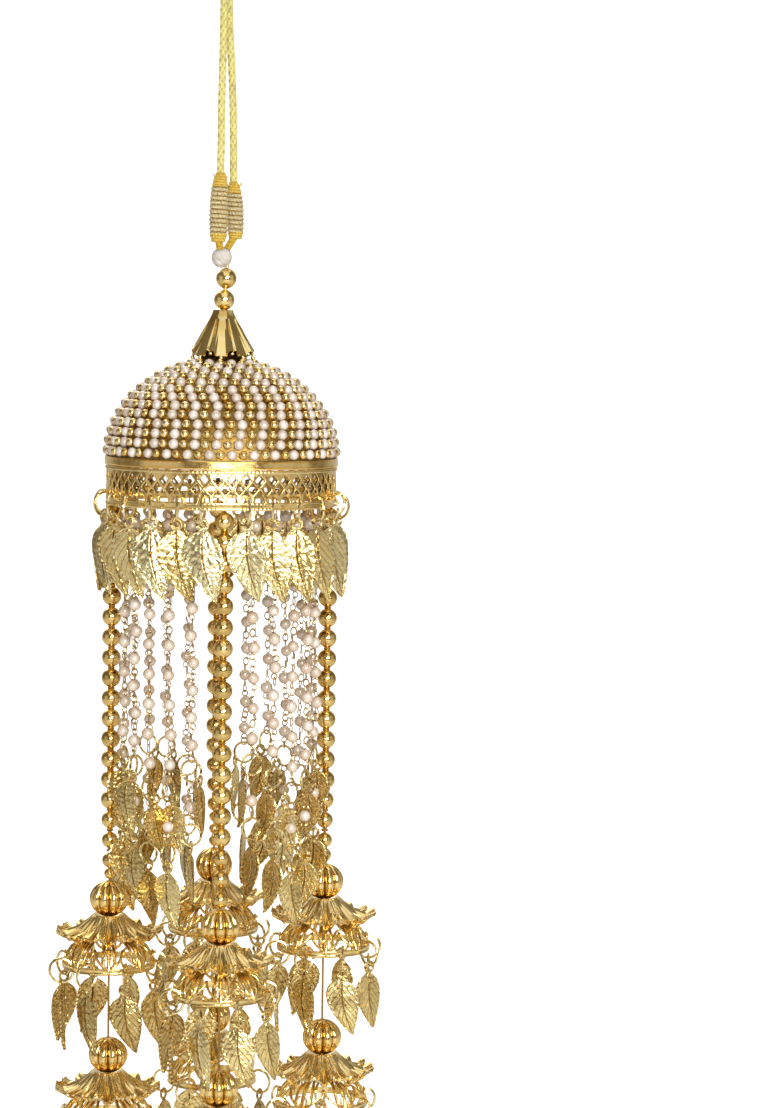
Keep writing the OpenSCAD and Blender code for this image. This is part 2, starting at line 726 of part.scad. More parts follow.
// A flower cap: a cup under the melon bead, then eight petals of two lobes with upturned tips
module flower(side, tier) {
    sides = flower_petals * petal_parts;
    r = flower_d / 2;
    LOBE = [-1, 0.5, -0.15, 0.5];
    LONG = [0.84, 1, 0.93, 1];
    start_r = cup_r + 0.3;
    rows = concat(
        [[thread_hole_r, cup_sink, 0, 0], [0.62 * cup_r, cup_sink, 0, 0], [start_r, 0, 0, 0]],
        [for (f = FLOWER_ROWS) [along(start_r, r, (f[0] - 0.3) / 0.7), f[1] * flower_h, f[2], f[0]]]
    );
    function petal_r(row, j) = row[0] * along(1, LONG[j % petal_parts], row[3]);
    function petal_z(row, j) = -row[1] + flower_ripple * row[2] * LOBE[j % petal_parts];
    function grid(under) = [
        for (row = rows)
            [for (j = [0:sides - 1])
                [petal_r(row, j) * cos(360 * j / sides), petal_r(row, j) * sin(360 * j / sides),
                 petal_z(row, j) - under]]
    ];
    color(gold)
        at_strand(side)
            translate([0, 0, flower_z(side, tier)])
                skin(grid(0), grid(flower_wall), sides);
}

function bell_row_z(share) = -bell_hub_drop - (bell_drop - bell_hub_drop) * share;
function bell_under_z(side, tier) = flower_z(side, tier) + bell_row_z(BELL_ROWS[0][1]) - bell_wall;

module bell(side, tier) {
    outer = [for (b = BELL_ROWS) [b[0] * bell_r, bell_row_z(b[1])]];
    inner = [for (i = [len(BELL_ROWS) - 1:-1:0])
        let (b = BELL_ROWS[i])
        [b[0] * bell_r - bell_wall,
         bell_row_z(b[1]) - (i == len(BELL_ROWS) - 1 ? 0 : bell_wall * (1 - bell_thinning * b[1]))]];
    gaps = BELL_RINGS[tier];
    pitch = 2 * PI * bell_r / gaps;
    sill = -bell_drop + bell_rim_h;
    slot_top = bell_row_z(bell_slot_z);
    slot_h = slot_top - sill;
    color(gold)
        at_strand(side)
            translate([0, 0, flower_z(side, tier)])
                difference() {
                    union() {
                        rotate_extrude($fn = 64)
                            polygon(concat([[0, bell_row_z(BELL_ROWS[0][1])]], outer, inner,
                                [[0, bell_row_z(BELL_ROWS[0][1]) - bell_wall]]));
                        translate([0, 0, bell_row_z(BELL_ROWS[0][1]) - slip])
                            cylinder(h = -bell_hub_drop - bell_row_z(BELL_ROWS[0][1]) + slip, r = bell_hub_r,
                                $fn = wire_fn);
                    }
                    cylinder(h = 3 * bell_drop, r = thread_hole_r, center = true, $fn = wire_fn);
                    for (k = [0:gaps - 1])
                        opening(360 * (k + 0.5) / gaps, sill, slot_from * bell_r, slot_to * bell_r,
                                pitch, slot_h, SLOT);
                }
}

bell_mid_r = bell_r - bell_wall / 2;
bell_ring_z = -bell_drop + bell_rim_h - ring_hang(bell_wall / 2 + ring_swing);

module bell_rings(side) {
    color(gold)
        at_strand(side)
            for (tier = [0:tiers - 1], k = [0:BELL_RINGS[tier] - 1])
                at_wall(360 * (k + 0.5) / BELL_RINGS[tier], bell_mid_r, BELL_TWIST,
                    flower_z(side, tier) + bell_ring_z)
                    wire_ring();
}

module bell_leaves(side) {
    color(gold)
        at_strand(side)
            for (tier = [0:tiers - 1], k = [0:BELL_RINGS[tier] - 1])
                at_wall(360 * (k + 0.5) / BELL_RINGS[tier], bell_mid_r, BELL_TWIST,
                    flower_z(side, tier) + bell_ring_z - eye_hang)
                    leaf(bell_leaf_w, bell_leaf_l);
}

cord_loop();
sleeve_front();
sleeve_rear();
thread_ball();
top_bead(upper_bead_up);  // top_bead_upper
top_bead(lower_bead_up);  // top_bead_lower
head_pin();
petal_cap();
dome_shell();
rim_strip();
lattice_band();
band_rings();
band_leaves();
for (i = [0:3]) {
    strand_beads(i);
    strand_thread(i);
    pearl_chains(i);
    bell_rings(i);
    bell_leaves(i);
    for (tier = [0:tiers - 1]) {
        melon(i, tier);
        flower(i, tier);
        bell(i, tier);
    }
}
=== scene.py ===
import random
from math import asin, atan2, cos, exp, pi, radians, sin

import bmesh
import bpy
from mathutils import Matrix, Vector


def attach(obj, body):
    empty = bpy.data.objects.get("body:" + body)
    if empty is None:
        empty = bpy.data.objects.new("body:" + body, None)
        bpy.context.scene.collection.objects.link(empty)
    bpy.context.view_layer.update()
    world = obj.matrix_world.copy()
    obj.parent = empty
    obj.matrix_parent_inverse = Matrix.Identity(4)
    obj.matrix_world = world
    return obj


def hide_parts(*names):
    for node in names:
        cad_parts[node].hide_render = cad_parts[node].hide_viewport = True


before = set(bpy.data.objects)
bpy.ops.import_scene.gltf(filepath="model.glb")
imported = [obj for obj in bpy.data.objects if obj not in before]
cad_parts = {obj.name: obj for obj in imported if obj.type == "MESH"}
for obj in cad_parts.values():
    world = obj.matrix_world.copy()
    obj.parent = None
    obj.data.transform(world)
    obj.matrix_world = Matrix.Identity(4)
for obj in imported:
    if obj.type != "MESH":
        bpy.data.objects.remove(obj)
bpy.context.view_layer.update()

# Camera
# It stands level with the beaded dome, a little to the right of the hanging ornament,
# and looks slightly down, so that the ornament fills the left half of the picture.
CAMERA_AT = (0.048, -0.87, -0.097)
LOOK_DOWN, ROLL = 4.15, 0.85


def moved(x, y, z):
    return Matrix.Translation((x, y, z))


def swung(degrees, axis="Z"):
    return Matrix.Rotation(radians(degrees), 4, axis)


camera = bpy.data.objects.new("camera", bpy.data.cameras.new("camera"))
camera.data.lens = 100
camera.data.sensor_width = 36
camera.data.clip_start = 0.02
camera.matrix_world = moved(*CAMERA_AT) @ swung(90 - LOOK_DOWN, "X") @ swung(ROLL)
bpy.context.scene.collection.objects.link(camera)
bpy.context.scene.camera = camera
bpy.context.scene.view_settings.view_transform = "Standard"

# Cord
# The hanging cord is braided from gilt thread, eight strands round a soft core. It leaves the
# front sleeve, turns in an open loop at the top and goes back into the rear sleeve.
CORD_D = 2.2
CORD_FROM = Vector((-1.0, -2.3, -53.5))
CORD_TO = Vector((2.4, 1.9, -55.9))
LOOP_R = 4.6
BRAID_PITCH = 2.3
CORD_UP = [(-0.9, -3.0, 0.17), (-0.8, -3.9, 0.38), (-0.6, -4.4, 0.56), (-0.5, -4.6, 0.72), (-0.45, -4.7, 0.84)]
CORD_DOWN = [(0.6, 4.7, 0.84), (0.9, 4.6, 0.72), (1.4, 4.4, 0.56), (1.9, 3.8, 0.38), (2.2, 2.8, 0.17)]


def node(tree, kind, inputs=(), **settings):
    made = tree.nodes.new("ShaderNode" + kind)
    for key, value in settings.items():
        setattr(made, key, value)
    for socket, value in dict(inputs).items():
        if isinstance(value, bpy.types.NodeSocket):
            tree.links.new(value, made.inputs[socket])
        else:
            made.inputs[socket].default_value = value
    return made


def reckoned(tree, operation, *values):
    return node(tree, "Math", dict(enumerate(values)), operation=operation).outputs[0]


def ranged(tree, value, low, high, to_low=0.0, to_high=1.0):
    return node(tree, "MapRange", {"Value": value, "From Min": low, "From Max": high, "To Min": to_low,
                                   "To Max": to_high}).outputs[0]


def mixed(tree, share, one, two):
    return node(tree, "Mix", {0: share, 6: one, 7: two}, data_type="RGBA").outputs[2]


def group(name, sockets_in, sockets_out):
    tree = bpy.data.node_groups.new(name, "ShaderNodeTree")
    for label, kind, value in sockets_in:
        socket = tree.interface.new_socket(label, in_out="INPUT", socket_type="NodeSocket" + kind)
        socket.default_value = value
    for label, kind in sockets_out:
        tree.interface.new_socket(label, in_out="OUTPUT", socket_type="NodeSocket" + kind)
    return tree, tree.nodes.new("NodeGroupInput"), tree.nodes.new("NodeGroupOutput")


def tone_effect():
    """Uneven colour: darker and paler patches, a tone of its own for each copy of a piece, and painted shade and
    painted light that some pieces carry on their grooves, ribs and rims.
    """
    tree, given, out = group(
        "uneven tone",
        [("Main", "Color", (1, 1, 1, 1)), ("Deep", "Color", (1, 1, 1, 1)), ("Pale", "Color", (1, 1, 1, 1)),
         ("Scale", "Float", 200)],
        [("Colour", "Color"), ("Mask", "Float")])
    place = node(tree, "TexCoord").outputs["Object"]
    patches = node(tree, "TexNoise", {"Vector": place, "Scale": given.outputs["Scale"], "Detail": 3.0})
    fine = reckoned(tree, "MULTIPLY", given.outputs["Scale"], 4.5)
    specks = node(tree, "TexNoise", {"Vector": place, "Scale": fine, "Detail": 2.0})
    tint = node(tree, "Attribute", attribute_name="tint", attribute_type="GEOMETRY").outputs["Fac"]
    # Negative values darken as painted shade or a darker tone, positive ones brighten as painted light or a paler
    # tone.
    dark = reckoned(tree, "MAXIMUM", ranged(tree, patches.outputs[0], 0.48, 0.72, 0.0, 0.75),
                    ranged(tree, tint, 0.0, -1.0))
    light = reckoned(tree, "MAXIMUM", ranged(tree, specks.outputs[0], 0.5, 0.8, 0.0, 0.5),
                     ranged(tree, tint, 0.0, 1.0))
    base = mixed(tree, dark, given.outputs["Main"], given.outputs["Deep"])
    tree.links.new(mixed(tree, light, base, given.outputs["Pale"]), out.inputs["Colour"])
    tree.links.new(specks.outputs[0], out.inputs["Mask"])
    return tree


def dents_effect():
    """Fine unevenness of cast or stamped metal and of thread: soft dents and a little grain."""
    tree, given, out = group(
        "small dents", [("Scale", "Float", 900), ("Grain", "Float", 0.3)], [("Height", "Float")])
    place = node(tree, "TexCoord").outputs["Object"]
    dents = node(tree, "TexVoronoi", {"Vector": place, "Scale": given.outputs["Scale"]}, feature="SMOOTH_F1")
    fine = reckoned(tree, "MULTIPLY", given.outputs["Scale"], 4.0)
    grain = node(tree, "TexNoise", {"Vector": place, "Scale": fine, "Detail": 2.0})
    part = reckoned(tree, "MULTIPLY", grain.outputs[0], given.outputs["Grain"])
    tree.links.new(reckoned(tree, "ADD", dents.outputs["Distance"], part), out.inputs["Height"])
    return tree


uneven_tone = tone_effect()
small_dents = dents_effect()


def finish(name, main, deep, pale, scale, rough, metallic=1.0, dents=(900, 0.3, 0.2), shell=(), relief=None,
           raised=0.00012, rim=None):
    """A material from the shared effects. rough is the lowest and highest roughness, dents are their
    scale, grain and strength, relief makes a height from the material's own pattern and a painted
    shade in its hollows, raised is how high that stands in metres, and rim is a painted shade, the
    colour that the surface turns to at its edges where it faces away."""
    material = bpy.data.materials.new(name)
    material.use_nodes = True
    tree = material.node_tree
    shader = tree.nodes["Principled BSDF"]
    tone = tree.nodes.new("ShaderNodeGroup")
    tone.node_tree = uneven_tone
    for socket, colour in (("Main", main), ("Deep", deep), ("Pale", pale)):
        tone.inputs[socket].default_value = (*colour, 1)
    tone.inputs["Scale"].default_value = scale
    colour = tone.outputs["Colour"]
    low = tree.nodes.new("ShaderNodeGroup")
    low.node_tree = small_dents
    low.inputs["Scale"].default_value = dents[0]
    low.inputs["Grain"].default_value = dents[1]
    bump = node(tree, "Bump", {"Height": low.outputs["Height"], "Strength": dents[2], "Distance": 0.0002})
    # A relief also paints shade into its hollows, mixing towards the deep colour.
    if relief:
        height, shade = relief(tree)
        bump = node(tree, "Bump", {"Height": height, "Strength": 0.6, "Distance": raised, "Normal": bump.outputs[0]})
        colour = mixed(tree, shade, colour, (*deep, 1))
    # Painted shade at the edges, where the surface faces away.
    if rim:
        facing = node(tree, "LayerWeight", {"Blend": 0.35})
        colour = mixed(tree, facing.outputs["Facing"], colour, (*rim, 1))
    tree.links.new(colour, shader.inputs["Base Color"])
    tree.links.new(ranged(tree, tone.outputs["Mask"], 0.3, 0.7, *rough), shader.inputs["Roughness"])
    tree.links.new(bump.outputs[0], shader.inputs["Normal"])
    shader.inputs["Metallic"].default_value = metallic
    for socket, value in dict(shell).items():
        shader.inputs[socket].default_value = value
    return material


def smooth_line(points, steps):
    line = []
    for i in range(len(points) - 1):
        a, b = points[max(i - 1, 0)], points[i]
        c, d = points[i + 1], points[min(i + 2, len(points) - 1)]
        for s in range(steps):
            t = s / steps
            line.append(0.5 * (2 * b + (c - a) * t + (2 * a - 5 * b + 4 * c - d) * t * t
                               + (3 * b - a - 3 * c + d) * t ** 3))
    return line + [points[-1]]


def even_line(line, gap):
    """The same line with its points an even distance apart."""
    ends = [0.0]
    for a, b in zip(line, line[1:]):
        ends.append(ends[-1] + (b - a).length)
    count = max(2, round(ends[-1] / gap))
    points, k = [], 0
    for i in range(count + 1):
        want = ends[-1] * i / count
        while k < len(ends) - 2 and ends[k + 1] < want:
            k += 1
        share = (want - ends[k]) / max(ends[k + 1] - ends[k], 1e-9)
        points.append(line[k].lerp(line[k + 1], min(max(share, 0.0), 1.0)))
    return points


def line_frames(line, across=Vector((1, 0, 0))):
    """Two directions across the line at each of its points, with no twist from one to the next."""
    frames = []
    for i, point in enumerate(line):
        way = (line[min(i + 1, len(line) - 1)] - line[max(i - 1, 0)]).normalized()
        across = (across - way * across.dot(way)).normalized()
        frames.append((point, across, way.cross(across)))
    return frames


def round_line(spot, u, r):
    """A point beside a line, at u of a turn and r from it: spot is one of its line_frames."""
    point, across, side = spot
    return point + (across * cos(2 * pi * u) + side * sin(2 * pi * u)) * r


def close_ends(bm):
    bmesh.ops.holes_fill(bm, edges=[e for e in bm.edges if e.is_boundary])


def faces_out(bm):
    bmesh.ops.recalc_face_normals(bm, faces=bm.faces)


def bent_grid(bm, columns, rows, place, closed=True, shade=None):
    """A flat grid with its UV map, bent to its place: place(u, v) gives each corner's point, and
    shade(u, v) how much painted shade (below 0) or painted light it gets."""
    if not bm.loops.layers.uv:
        bm.loops.layers.uv.new("UVMap")
    tint = bm.verts.layers.float.get("tint") or bm.verts.layers.float.new("tint")
    made = bmesh.ops.create_grid(bm, x_segments=columns, y_segments=rows, size=0.5, calc_uvs=True)["verts"]
    for vert in made:
        u, v = vert.co.x + 0.5, vert.co.y + 0.5
        vert.co = place(u, v)
        if shade:
            vert[tint] = shade(u, v)
    if closed:
        bmesh.ops.remove_doubles(bm, verts=made, dist=1e-4)


def lay_down(bm, name, material, slot, *nodes, sharp=50):
    """Millimetres to metres, then the piece gets its material and rides on the ornament."""
    bmesh.ops.scale(bm, vec=(0.001, 0.001, 0.001), verts=bm.verts)
    mesh = bpy.data.meshes.new(name)
    bm.to_mesh(mesh)
    bm.free()
    mesh.shade_smooth()
    mesh.set_sharp_from_angle(angle=radians(sharp))
    mesh.materials.append(material)
    piece = bpy.data.objects.new(name, mesh)
    bpy.context.scene.collection.objects.link(piece)
    if nodes:
        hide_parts(*nodes)
    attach(piece, "root")
    return piece


def cord_route():
    top = CORD_D / 2 - LOOP_R
    up = [Vector((x, y, (CORD_FROM.z + CORD_D) * (1 - share))) for x, y, share in CORD_UP]
    down = [Vector((x, y, (CORD_TO.z + CORD_D) * (1 - share))) for x, y, share in CORD_DOWN]
    arc = [Vector((0.05 - 0.4 * cos(t), -LOOP_R * cos(t), top + LOOP_R * sin(t)))
           for t in (pi * quarter / 4 for quarter in range(5))]
    first = [CORD_FROM, CORD_FROM + Vector((0, 0, CORD_D))]
    return first + up + arc + down + [CORD_TO + Vector((0, 0, CORD_D)), CORD_TO]


cord_line = even_line(smooth_line(cord_route(), 12), 0.22)
cord_length = sum((b - a).length for a, b in zip(cord_line, cord_line[1:]))
cord_frames = line_frames(cord_line)


def braid_lump(u, v):
    """How high a strand of the braid stands: 0 in the stitches between strands, 1 on their backs."""
    along = v * cord_length / BRAID_PITCH
    one, two = sin(pi * (u * 4 + along)), sin(pi * (u * 4 - along))
    a, b = (abs(one), abs(two)) if one * two > 0 else (abs(two), abs(one))
    return a ** 0.7 * b ** 0.3


def braid_point(u, v):
    spot = cord_frames[round(v * (len(cord_frames) - 1))]
    return round_line(spot, u, CORD_D / 2 * (0.76 + 0.28 * braid_lump(u, v)))


def braid_relief(tree):
    """Gilt threads that run slantwise along the strands, with painted shade between the threads."""
    uv = node(tree, "TexCoord").outputs["UV"]
    turned = node(tree, "Mapping", {"Vector": uv, "Scale": (26.0, 210.0, 1.0)})
    threads = node(tree, "TexWave", {"Vector": turned.outputs[0], "Scale": 1.0, "Distortion": 1.5, "Detail": 1.0},
                   bands_direction="DIAGONAL")
    return threads.outputs["Fac"], ranged(tree, threads.outputs["Fac"], 0.0, 0.5, 0.25, 0.0)


gilt_braid = finish("gilt braid", (1.0, 0.9, 0.28), (0.3, 0.19, 0.02), (1.0, 0.96, 0.44), 500, (0.3, 0.5),
                    metallic=0.05, dents=(3000, 0.6, 0.2), relief=braid_relief)
bm = bmesh.new()
# The braid's grooves between strands are painted dark as shade, and the strands' backs paler as light.
bent_grid(bm, 32, len(cord_frames) - 1, braid_point,
          shade=lambda u, v: 0.6 - 1.9 * max(0.0, 1 - braid_lump(u, v) / 0.62))
close_ends(bm)
faces_out(bm)
cord = lay_down(bm, "cord", gilt_braid, "gold_cord", "cord_loop", sharp=80)

# Sleeves
# Where the cord's ends are bound, each is wound with twisted metallic thread into a long barrel,
# with tight yellow windings above and below and a short wound neck down to the thread ball. A few
# cut ends of the thread curl out over the upper winding.
BALL_AT = Vector((-0.6, 0, -77.2))
BALL_R = 2.9
SLEEVES = {
    "sleeve_front": (Vector((-1.5, -2.3, -72.9)), 5.3, 19.4, 0.5),
    "sleeve_rear": (Vector((3.1, 1.9, -71.9)), 4.8, 16.0, -0.7),
}
WIDE_PITCH, FINE_PITCH = 1.25, 0.75
NECK_R, NECK_ROWS = 1.08, 24
CUT_ENDS, CUT_END_R = 9, 0.13
BARREL = [(0.0, 0.72), (0.05, 0.8), (0.1, 0.92), (0.3, 1.0), (0.6, 1.0), (0.75, 0.93), (0.82, 0.84), (0.9, 0.7),
          (0.97, 0.56), (1.0, 0.5)]


def from_table(table, share):
    for (a, p), (b, q) in zip(table, table[1:]):
        if share <= b:
            return p + (q - p) * (share - a) / (b - a)
    return table[-1][1]


def drawn_wire(bm, points, r, sides=6):
    """A round wire with closed ends along a line of points."""
    line = line_frames(points, Vector((0.3, 0.9, 0.3)))
    last = len(line) - 1

    def place(u, v):
        row = round(v * last)
        return round_line(line[row], u, r * 0.02 if row in (0, last) else r)

    bent_grid(bm, sides, last, place)


def wound_relief(tree):
    """Each turn of the winding is itself twisted from fine metallic thread, with painted shade between the threads.
    """
    uv = node(tree, "TexCoord").outputs["UV"]
    turned = node(tree, "Mapping", {"Vector": uv, "Scale": (60.0, 48.0, 1.0)})
    threads = node(tree, "TexWave", {"Vector": turned.outputs[0], "Scale": 1.0, "Distortion": 2.0},
                   bands_direction="DIAGONAL")
    return threads.outputs["Fac"], ranged(tree, threads.outputs["Fac"], 0.0, 0.5, 0.5, 0.0)


wound_thread = finish("wound metallic thread", (1.0, 0.8, 0.32), (0.2, 0.09, 0.01), (1.0, 0.96, 0.72), 1400,
                      (0.2, 0.4), metallic=0.55, dents=(4000, 0.6, 0.25), relief=wound_relief)
yellow_thread = finish("yellow binding thread", (1.0, 0.7, 0.07), (0.45, 0.16, 0.01), (1.0, 0.88, 0.25), 1400,
                       (0.35, 0.55), metallic=0.1, dents=(4000, 0.6, 0.25), relief=wound_relief)
random.seed(3)
for name, (low, d, length, lean) in SLEEVES.items():
    def rib(u, v, length=length):
        wide = 0.1 < v < 0.8
        turns = v * length / (WIDE_PITCH if wide else FINE_PITCH)
        beads = abs(sin(pi * (u * 16 + turns * 0.5)))
        return wide, abs(sin(pi * (turns + u))) ** 0.8, beads

    def barrel_point(u, v, low=low, d=d, length=length, lean=lean):
        wide, high, beads = rib(u, v)
        r = 0.12 + d / 2 * from_table(BARREL, v) - (0.45 if wide else 0.24) * (1 - high) - 0.16 * (1 - beads)
        turn = 2 * pi * u
        return low + Vector((lean * v * v + r * cos(turn), r * sin(turn), v * length))

    bm = bmesh.new()
    # Painted shade darkens the grooves between the turns and between the beads, and painted light brightens their
    # backs.
    bent_grid(bm, 96, round(length / 0.14), barrel_point,
              shade=lambda u, v: 0.9 - 2.4 * max(0.9 - rib(u, v)[1], 0.7 - rib(u, v)[2]))
    close_ends(bm)
    neck_top = low + Vector((0, 0, 1.1))
    way = (BALL_AT - neck_top).normalized()
    neck_low = BALL_AT - way * (BALL_R - 0.1)
    neck = line_frames([neck_top.lerp(neck_low, i / NECK_ROWS) for i in range(NECK_ROWS + 1)])

    def neck_point(u, v, neck=neck):
        row = round(v * NECK_ROWS)
        return round_line(neck[row], u, NECK_R - 0.12 * (row % 2))

    bent_grid(bm, 20, NECK_ROWS, neck_point)
    for k in range(CUT_ENDS):
        turn = 360 / CUT_ENDS * k
        start = low + Vector((lean, 0, length - 1.6)) + swung(turn) @ Vector((1.2, 0, 0))
        out = swung(turn + random.uniform(-30, 30)) @ Vector((1, 0, 0))
        reach, rise = random.uniform(0.5, 1.3), random.uniform(0.6, 1.5)
        curl = [start + out * reach * sin(t / 8 * 2.2) + Vector((0, 0, rise * t / 8)) for t in range(9)]
        drawn_wire(bm, curl, CUT_END_R, 5)
    faces_out(bm)
    piece = lay_down(bm, name.replace("sleeve", "wound_sleeve"), wound_thread, "wound_thread", name, sharp=80)
    piece.data.materials.append(yellow_thread)
    for face in piece.data.polygons:
        share = (face.center.z * 1000 - low.z) / length
        face.material_index = 1 if share > 0.8 or share < 0.12 else 0

# Thread ball
# A small ball of silvery thread hides the knot between the sleeves and the beads. The thread is
# wound in crossing loops, so its turns show as fine ridges.
silver_wound = finish("silver thread", (1.0, 0.98, 0.93), (0.6, 0.5, 0.36), (1.0, 1.0, 1.0), 700, (0.2, 0.35),
                      metallic=0.1, dents=(3500, 0.5, 0.2), relief=wound_relief)


def around(r, turn, z):
    """A point at radius r and height z, turned about the vertical."""
    return Vector((r * cos(turn), r * sin(turn), z))


def bent(columns, rows, place, closed=True, shade=None):
    """One bent grid in a shape of its own, its faces outwards."""
    bm = bmesh.new()
    bent_grid(bm, columns, rows, place, closed, shade)
    faces_out(bm)
    return bm


def ball_point(u, v):
    tilt = pi * (v - 0.5)
    spot = around(cos(tilt), 2 * pi * u, sin(tilt))
    loops = sin(26 * atan2(spot.y, spot.x * 0.8 + spot.z * 0.6) * 0.5 + 3 * spot.z)
    return BALL_AT + spot * (BALL_R - 0.1 + 0.09 * loops)


lay_down(bent(72, 40, ball_point), "ball_of_thread", silver_wound, "silver_thread", "thread_ball", sharp=80)

# Beads over the cap and their pin
# Two hollow round beads, plated and polished, with a turned collar at each end of the hole. They
# are threaded on a wire pin that goes down through the cap into the dome.
GOLD = (1.0, 0.74, 0.29)
GOLD_DEEP = (0.56, 0.34, 0.08)
GOLD_PALE = (1.0, 0.9, 0.56)
PIN_FOOT = Vector((0, 0, -92.25))
PIN_LEAN = 4.6
TOP_BEADS = {"top_bead_upper": 9.26, "top_bead_lower": 3.22}
TOP_BEAD_R, PIN_HOLE = 2.9, 0.5
polished_gold = finish("polished gold plate", GOLD, GOLD_DEEP, GOLD_PALE, 260, (0.1, 0.2), dents=(500, 0.15, 0.05))


def turned(profile, steps):
    """A profile of (radius, height) pairs, spun about the vertical."""
    bm = bmesh.new()
    start = [bm.verts.new((r, 0, z)) for r, z in profile]
    edges = [bm.edges.new(pair) for pair in zip(start, start[1:])]
    bmesh.ops.spin(bm, geom=start + edges, axis=(0, 0, 1), angle=2 * pi, steps=steps, use_merge=True)
    bmesh.ops.remove_doubles(bm, verts=bm.verts, dist=1e-4)
    faces_out(bm)
    return bm


def bead_profile(r, hole, rows):
    reach = asin(hole * 1.7 / r)
    ball = [(r * sin(a), r * cos(a))
            for a in (reach + (pi - 2 * reach) * i / rows for i in range(rows + 1))]
    top = ball[0][1]
    return ([(hole, top - 0.5), (hole, top + 0.12), (hole * 1.35, top + 0.16), (hole * 1.6, top + 0.03)] + ball
            + [(hole * 1.6, -top - 0.03), (hole * 1.35, -top - 0.16), (hole, -top - 0.12), (hole, -top + 0.5)])


def as_item(bm):
    """A shape in millimetres that is put together many times."""
    mesh = bpy.data.meshes.new("item")
    bm.to_mesh(mesh)
    bm.free()
    return mesh


def joined(copies):
    """Copies of small shapes in one mesh, each with its place and its own tone or painted shade, added on top of the
    shape's own.
    """
    bm = bmesh.new()
    bm.loops.layers.uv.new("UVMap")
    bm.verts.layers.float.new("tint")
    for mesh, place, tint in copies:
        copy = mesh.copy()
        copy.transform(place)
        shade = copy.attributes.get("tint") or copy.attributes.new("tint", "FLOAT", "POINT")
        shade.data.foreach_set("value", [value.value + tint for value in shade.data])
        bm.from_mesh(copy)
        bpy.data.meshes.remove(copy)
    return bm


def refinish(name, material):
    """A part of the CAD model keeps its shape and gets a better material."""
    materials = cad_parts[name].data.materials
    materials.clear()
    materials.append(material)


top_bead = as_item(turned(bead_profile(TOP_BEAD_R, PIN_HOLE, 18), 40))
for name, up in TOP_BEADS.items():
    place = moved(*PIN_FOOT) @ swung(PIN_LEAN, "Y") @ moved(0, 0, up)
    lay_down(joined([(top_bead, place, 0.0)]), name.replace("top_bead", "bead"), polished_gold, "gold", name)
refinish("head_pin", polished_gold)

# Petal cap
# A cone pressed from thin sheet: eight flat petals with bright folded edges, and an arched rim
# with a tiny ball under each petal and each arch. It sits on the crown of the dome.
CAP_TOP = -92.37
CAP_H = 12.6
CAP_R = (2.5, 8.6)
CAP_SHEET = 0.5
PETALS = 8
RIM_BALLS = [(8.5, -105.3), (7.9, -104.1)]
stamped_gold = finish("stamped gold plate", GOLD, GOLD_DEEP, GOLD_PALE, 260, (0.12, 0.26), dents=(900, 0.2, 0.08))
pressed_gold = finish("pressed cap gold", (1.0, 0.8, 0.34), GOLD_DEEP, (1.0, 0.95, 0.62), 90, (0.1, 0.2),
                      dents=(350, 0.1, 0.05))


def cap_point(u, v):
    petal = u * PETALS % 1
    r = CAP_R[0] + (CAP_R[1] - CAP_R[0]) * v ** 1.15
    across = abs(petal - 0.5) * 2
    r *= 0.95 / cos(pi / PETALS * across)
    fold = max(0.0, 1 - abs(across - 0.84) / 0.1) * 0.25
    groove = max(0.0, 1 - (1 - across) / 0.08) * 0.5
    r += (fold - groove) * min(1.0, v * 2)
    arch = max(0.0, 1 - ((1 - across) / 0.5) ** 2) ** 0.5 * 0.14
    return around(r, 2 * pi * (u + 0.5 / PETALS), CAP_TOP - CAP_H * v * (1 - arch * max(0.0, v - 0.3) ** 0.5))


# Painted shade in the grooves where the petals meet.
def cap_shade(u, v):
    petal = u * PETALS % 1
    return -1.2 * max(0.0, 1 - min(petal, 1 - petal) / 0.06)


bm = bmesh.new()
bent_grid(bm, 192, 44, cap_point, shade=cap_shade)
rim = [e for e in bm.edges if e.is_boundary and e.verts[0].co.z > CAP_TOP - 1]
top = bmesh.ops.extrude_edge_only(bm, edges=rim)["geom"]
for vert in (g for g in top if isinstance(g, bmesh.types.BMVert)):
    vert.co.x, vert.co.y = vert.co.x * 0.22, vert.co.y * 0.22
faces_out(bm)
bmesh.ops.solidify(bm, geom=bm.faces, thickness=CAP_SHEET)
copies = [(as_item(bm), Matrix(), 0.0)]
bm = bmesh.new()
bmesh.ops.create_icosphere(bm, subdivisions=2, radius=1.0)
small_ball = as_item(bm)
for k in range(2 * PETALS):
    r, z = RIM_BALLS[k % 2]
    copies.append((small_ball, swung(180 / PETALS * k) @ moved(r, 0, z) @ Matrix.Scale(0.62, 4), 0.3))
lay_down(joined(copies), "cap_of_petals", pressed_gold, "gold", "petal_cap")

# Beaded dome
# A stamped dome covered with thirteen rings of wired pearls, each pearl followed by a small
# gold ball. The rings sit in gilt grooves that are painted dark as shade between the pearls, the
# pearls are glossy cream plastic with a painted shade at their edges, and a low collar on the
# crown fills the cap.
RIM_Z = -133.0
ROW_A, ROW_B = 32.3, 27.1
FIRST_ROW, ROW_STEP, ROWS = 3.17, 5.887, 13
RIM_PAIRS = 33
DOME_PEARL_R, GOLD_BALL_R = 1.5, 1.25
DOME_SHEET = 1.2
PEARL_SHELL = {"Coat Weight": 1.0, "Coat Roughness": 0.1, "Coat IOR": 2.2}
# The rim colour paints shade at the pearls' edges.
dome_pearl = finish("dome pearl", (0.84, 0.73, 0.64), (0.56, 0.44, 0.35), (0.95, 0.9, 0.85), 500, (0.1, 0.2),
                    metallic=0.0, dents=(700, 0.2, 0.03), shell=PEARL_SHELL, rim=(0.3, 0.2, 0.13))
# The grooves' gold is painted very dark, as shade between the pearls.
groove_gold_in_painted_shade = finish("gilt groove in painted shade", (0.26, 0.16, 0.04), (0.1, 0.05, 0.01), (0.8, 0.58, 0.22), 600, (0.25, 0.45),
                     dents=(1600, 0.5, 0.5))


def on_dome(degrees, out):
    """Radius and height on the dome's outline, at an angle up from its rim."""
    return (ROW_A + out) * cos(radians(degrees)), RIM_Z + (ROW_B + out) * sin(radians(degrees))


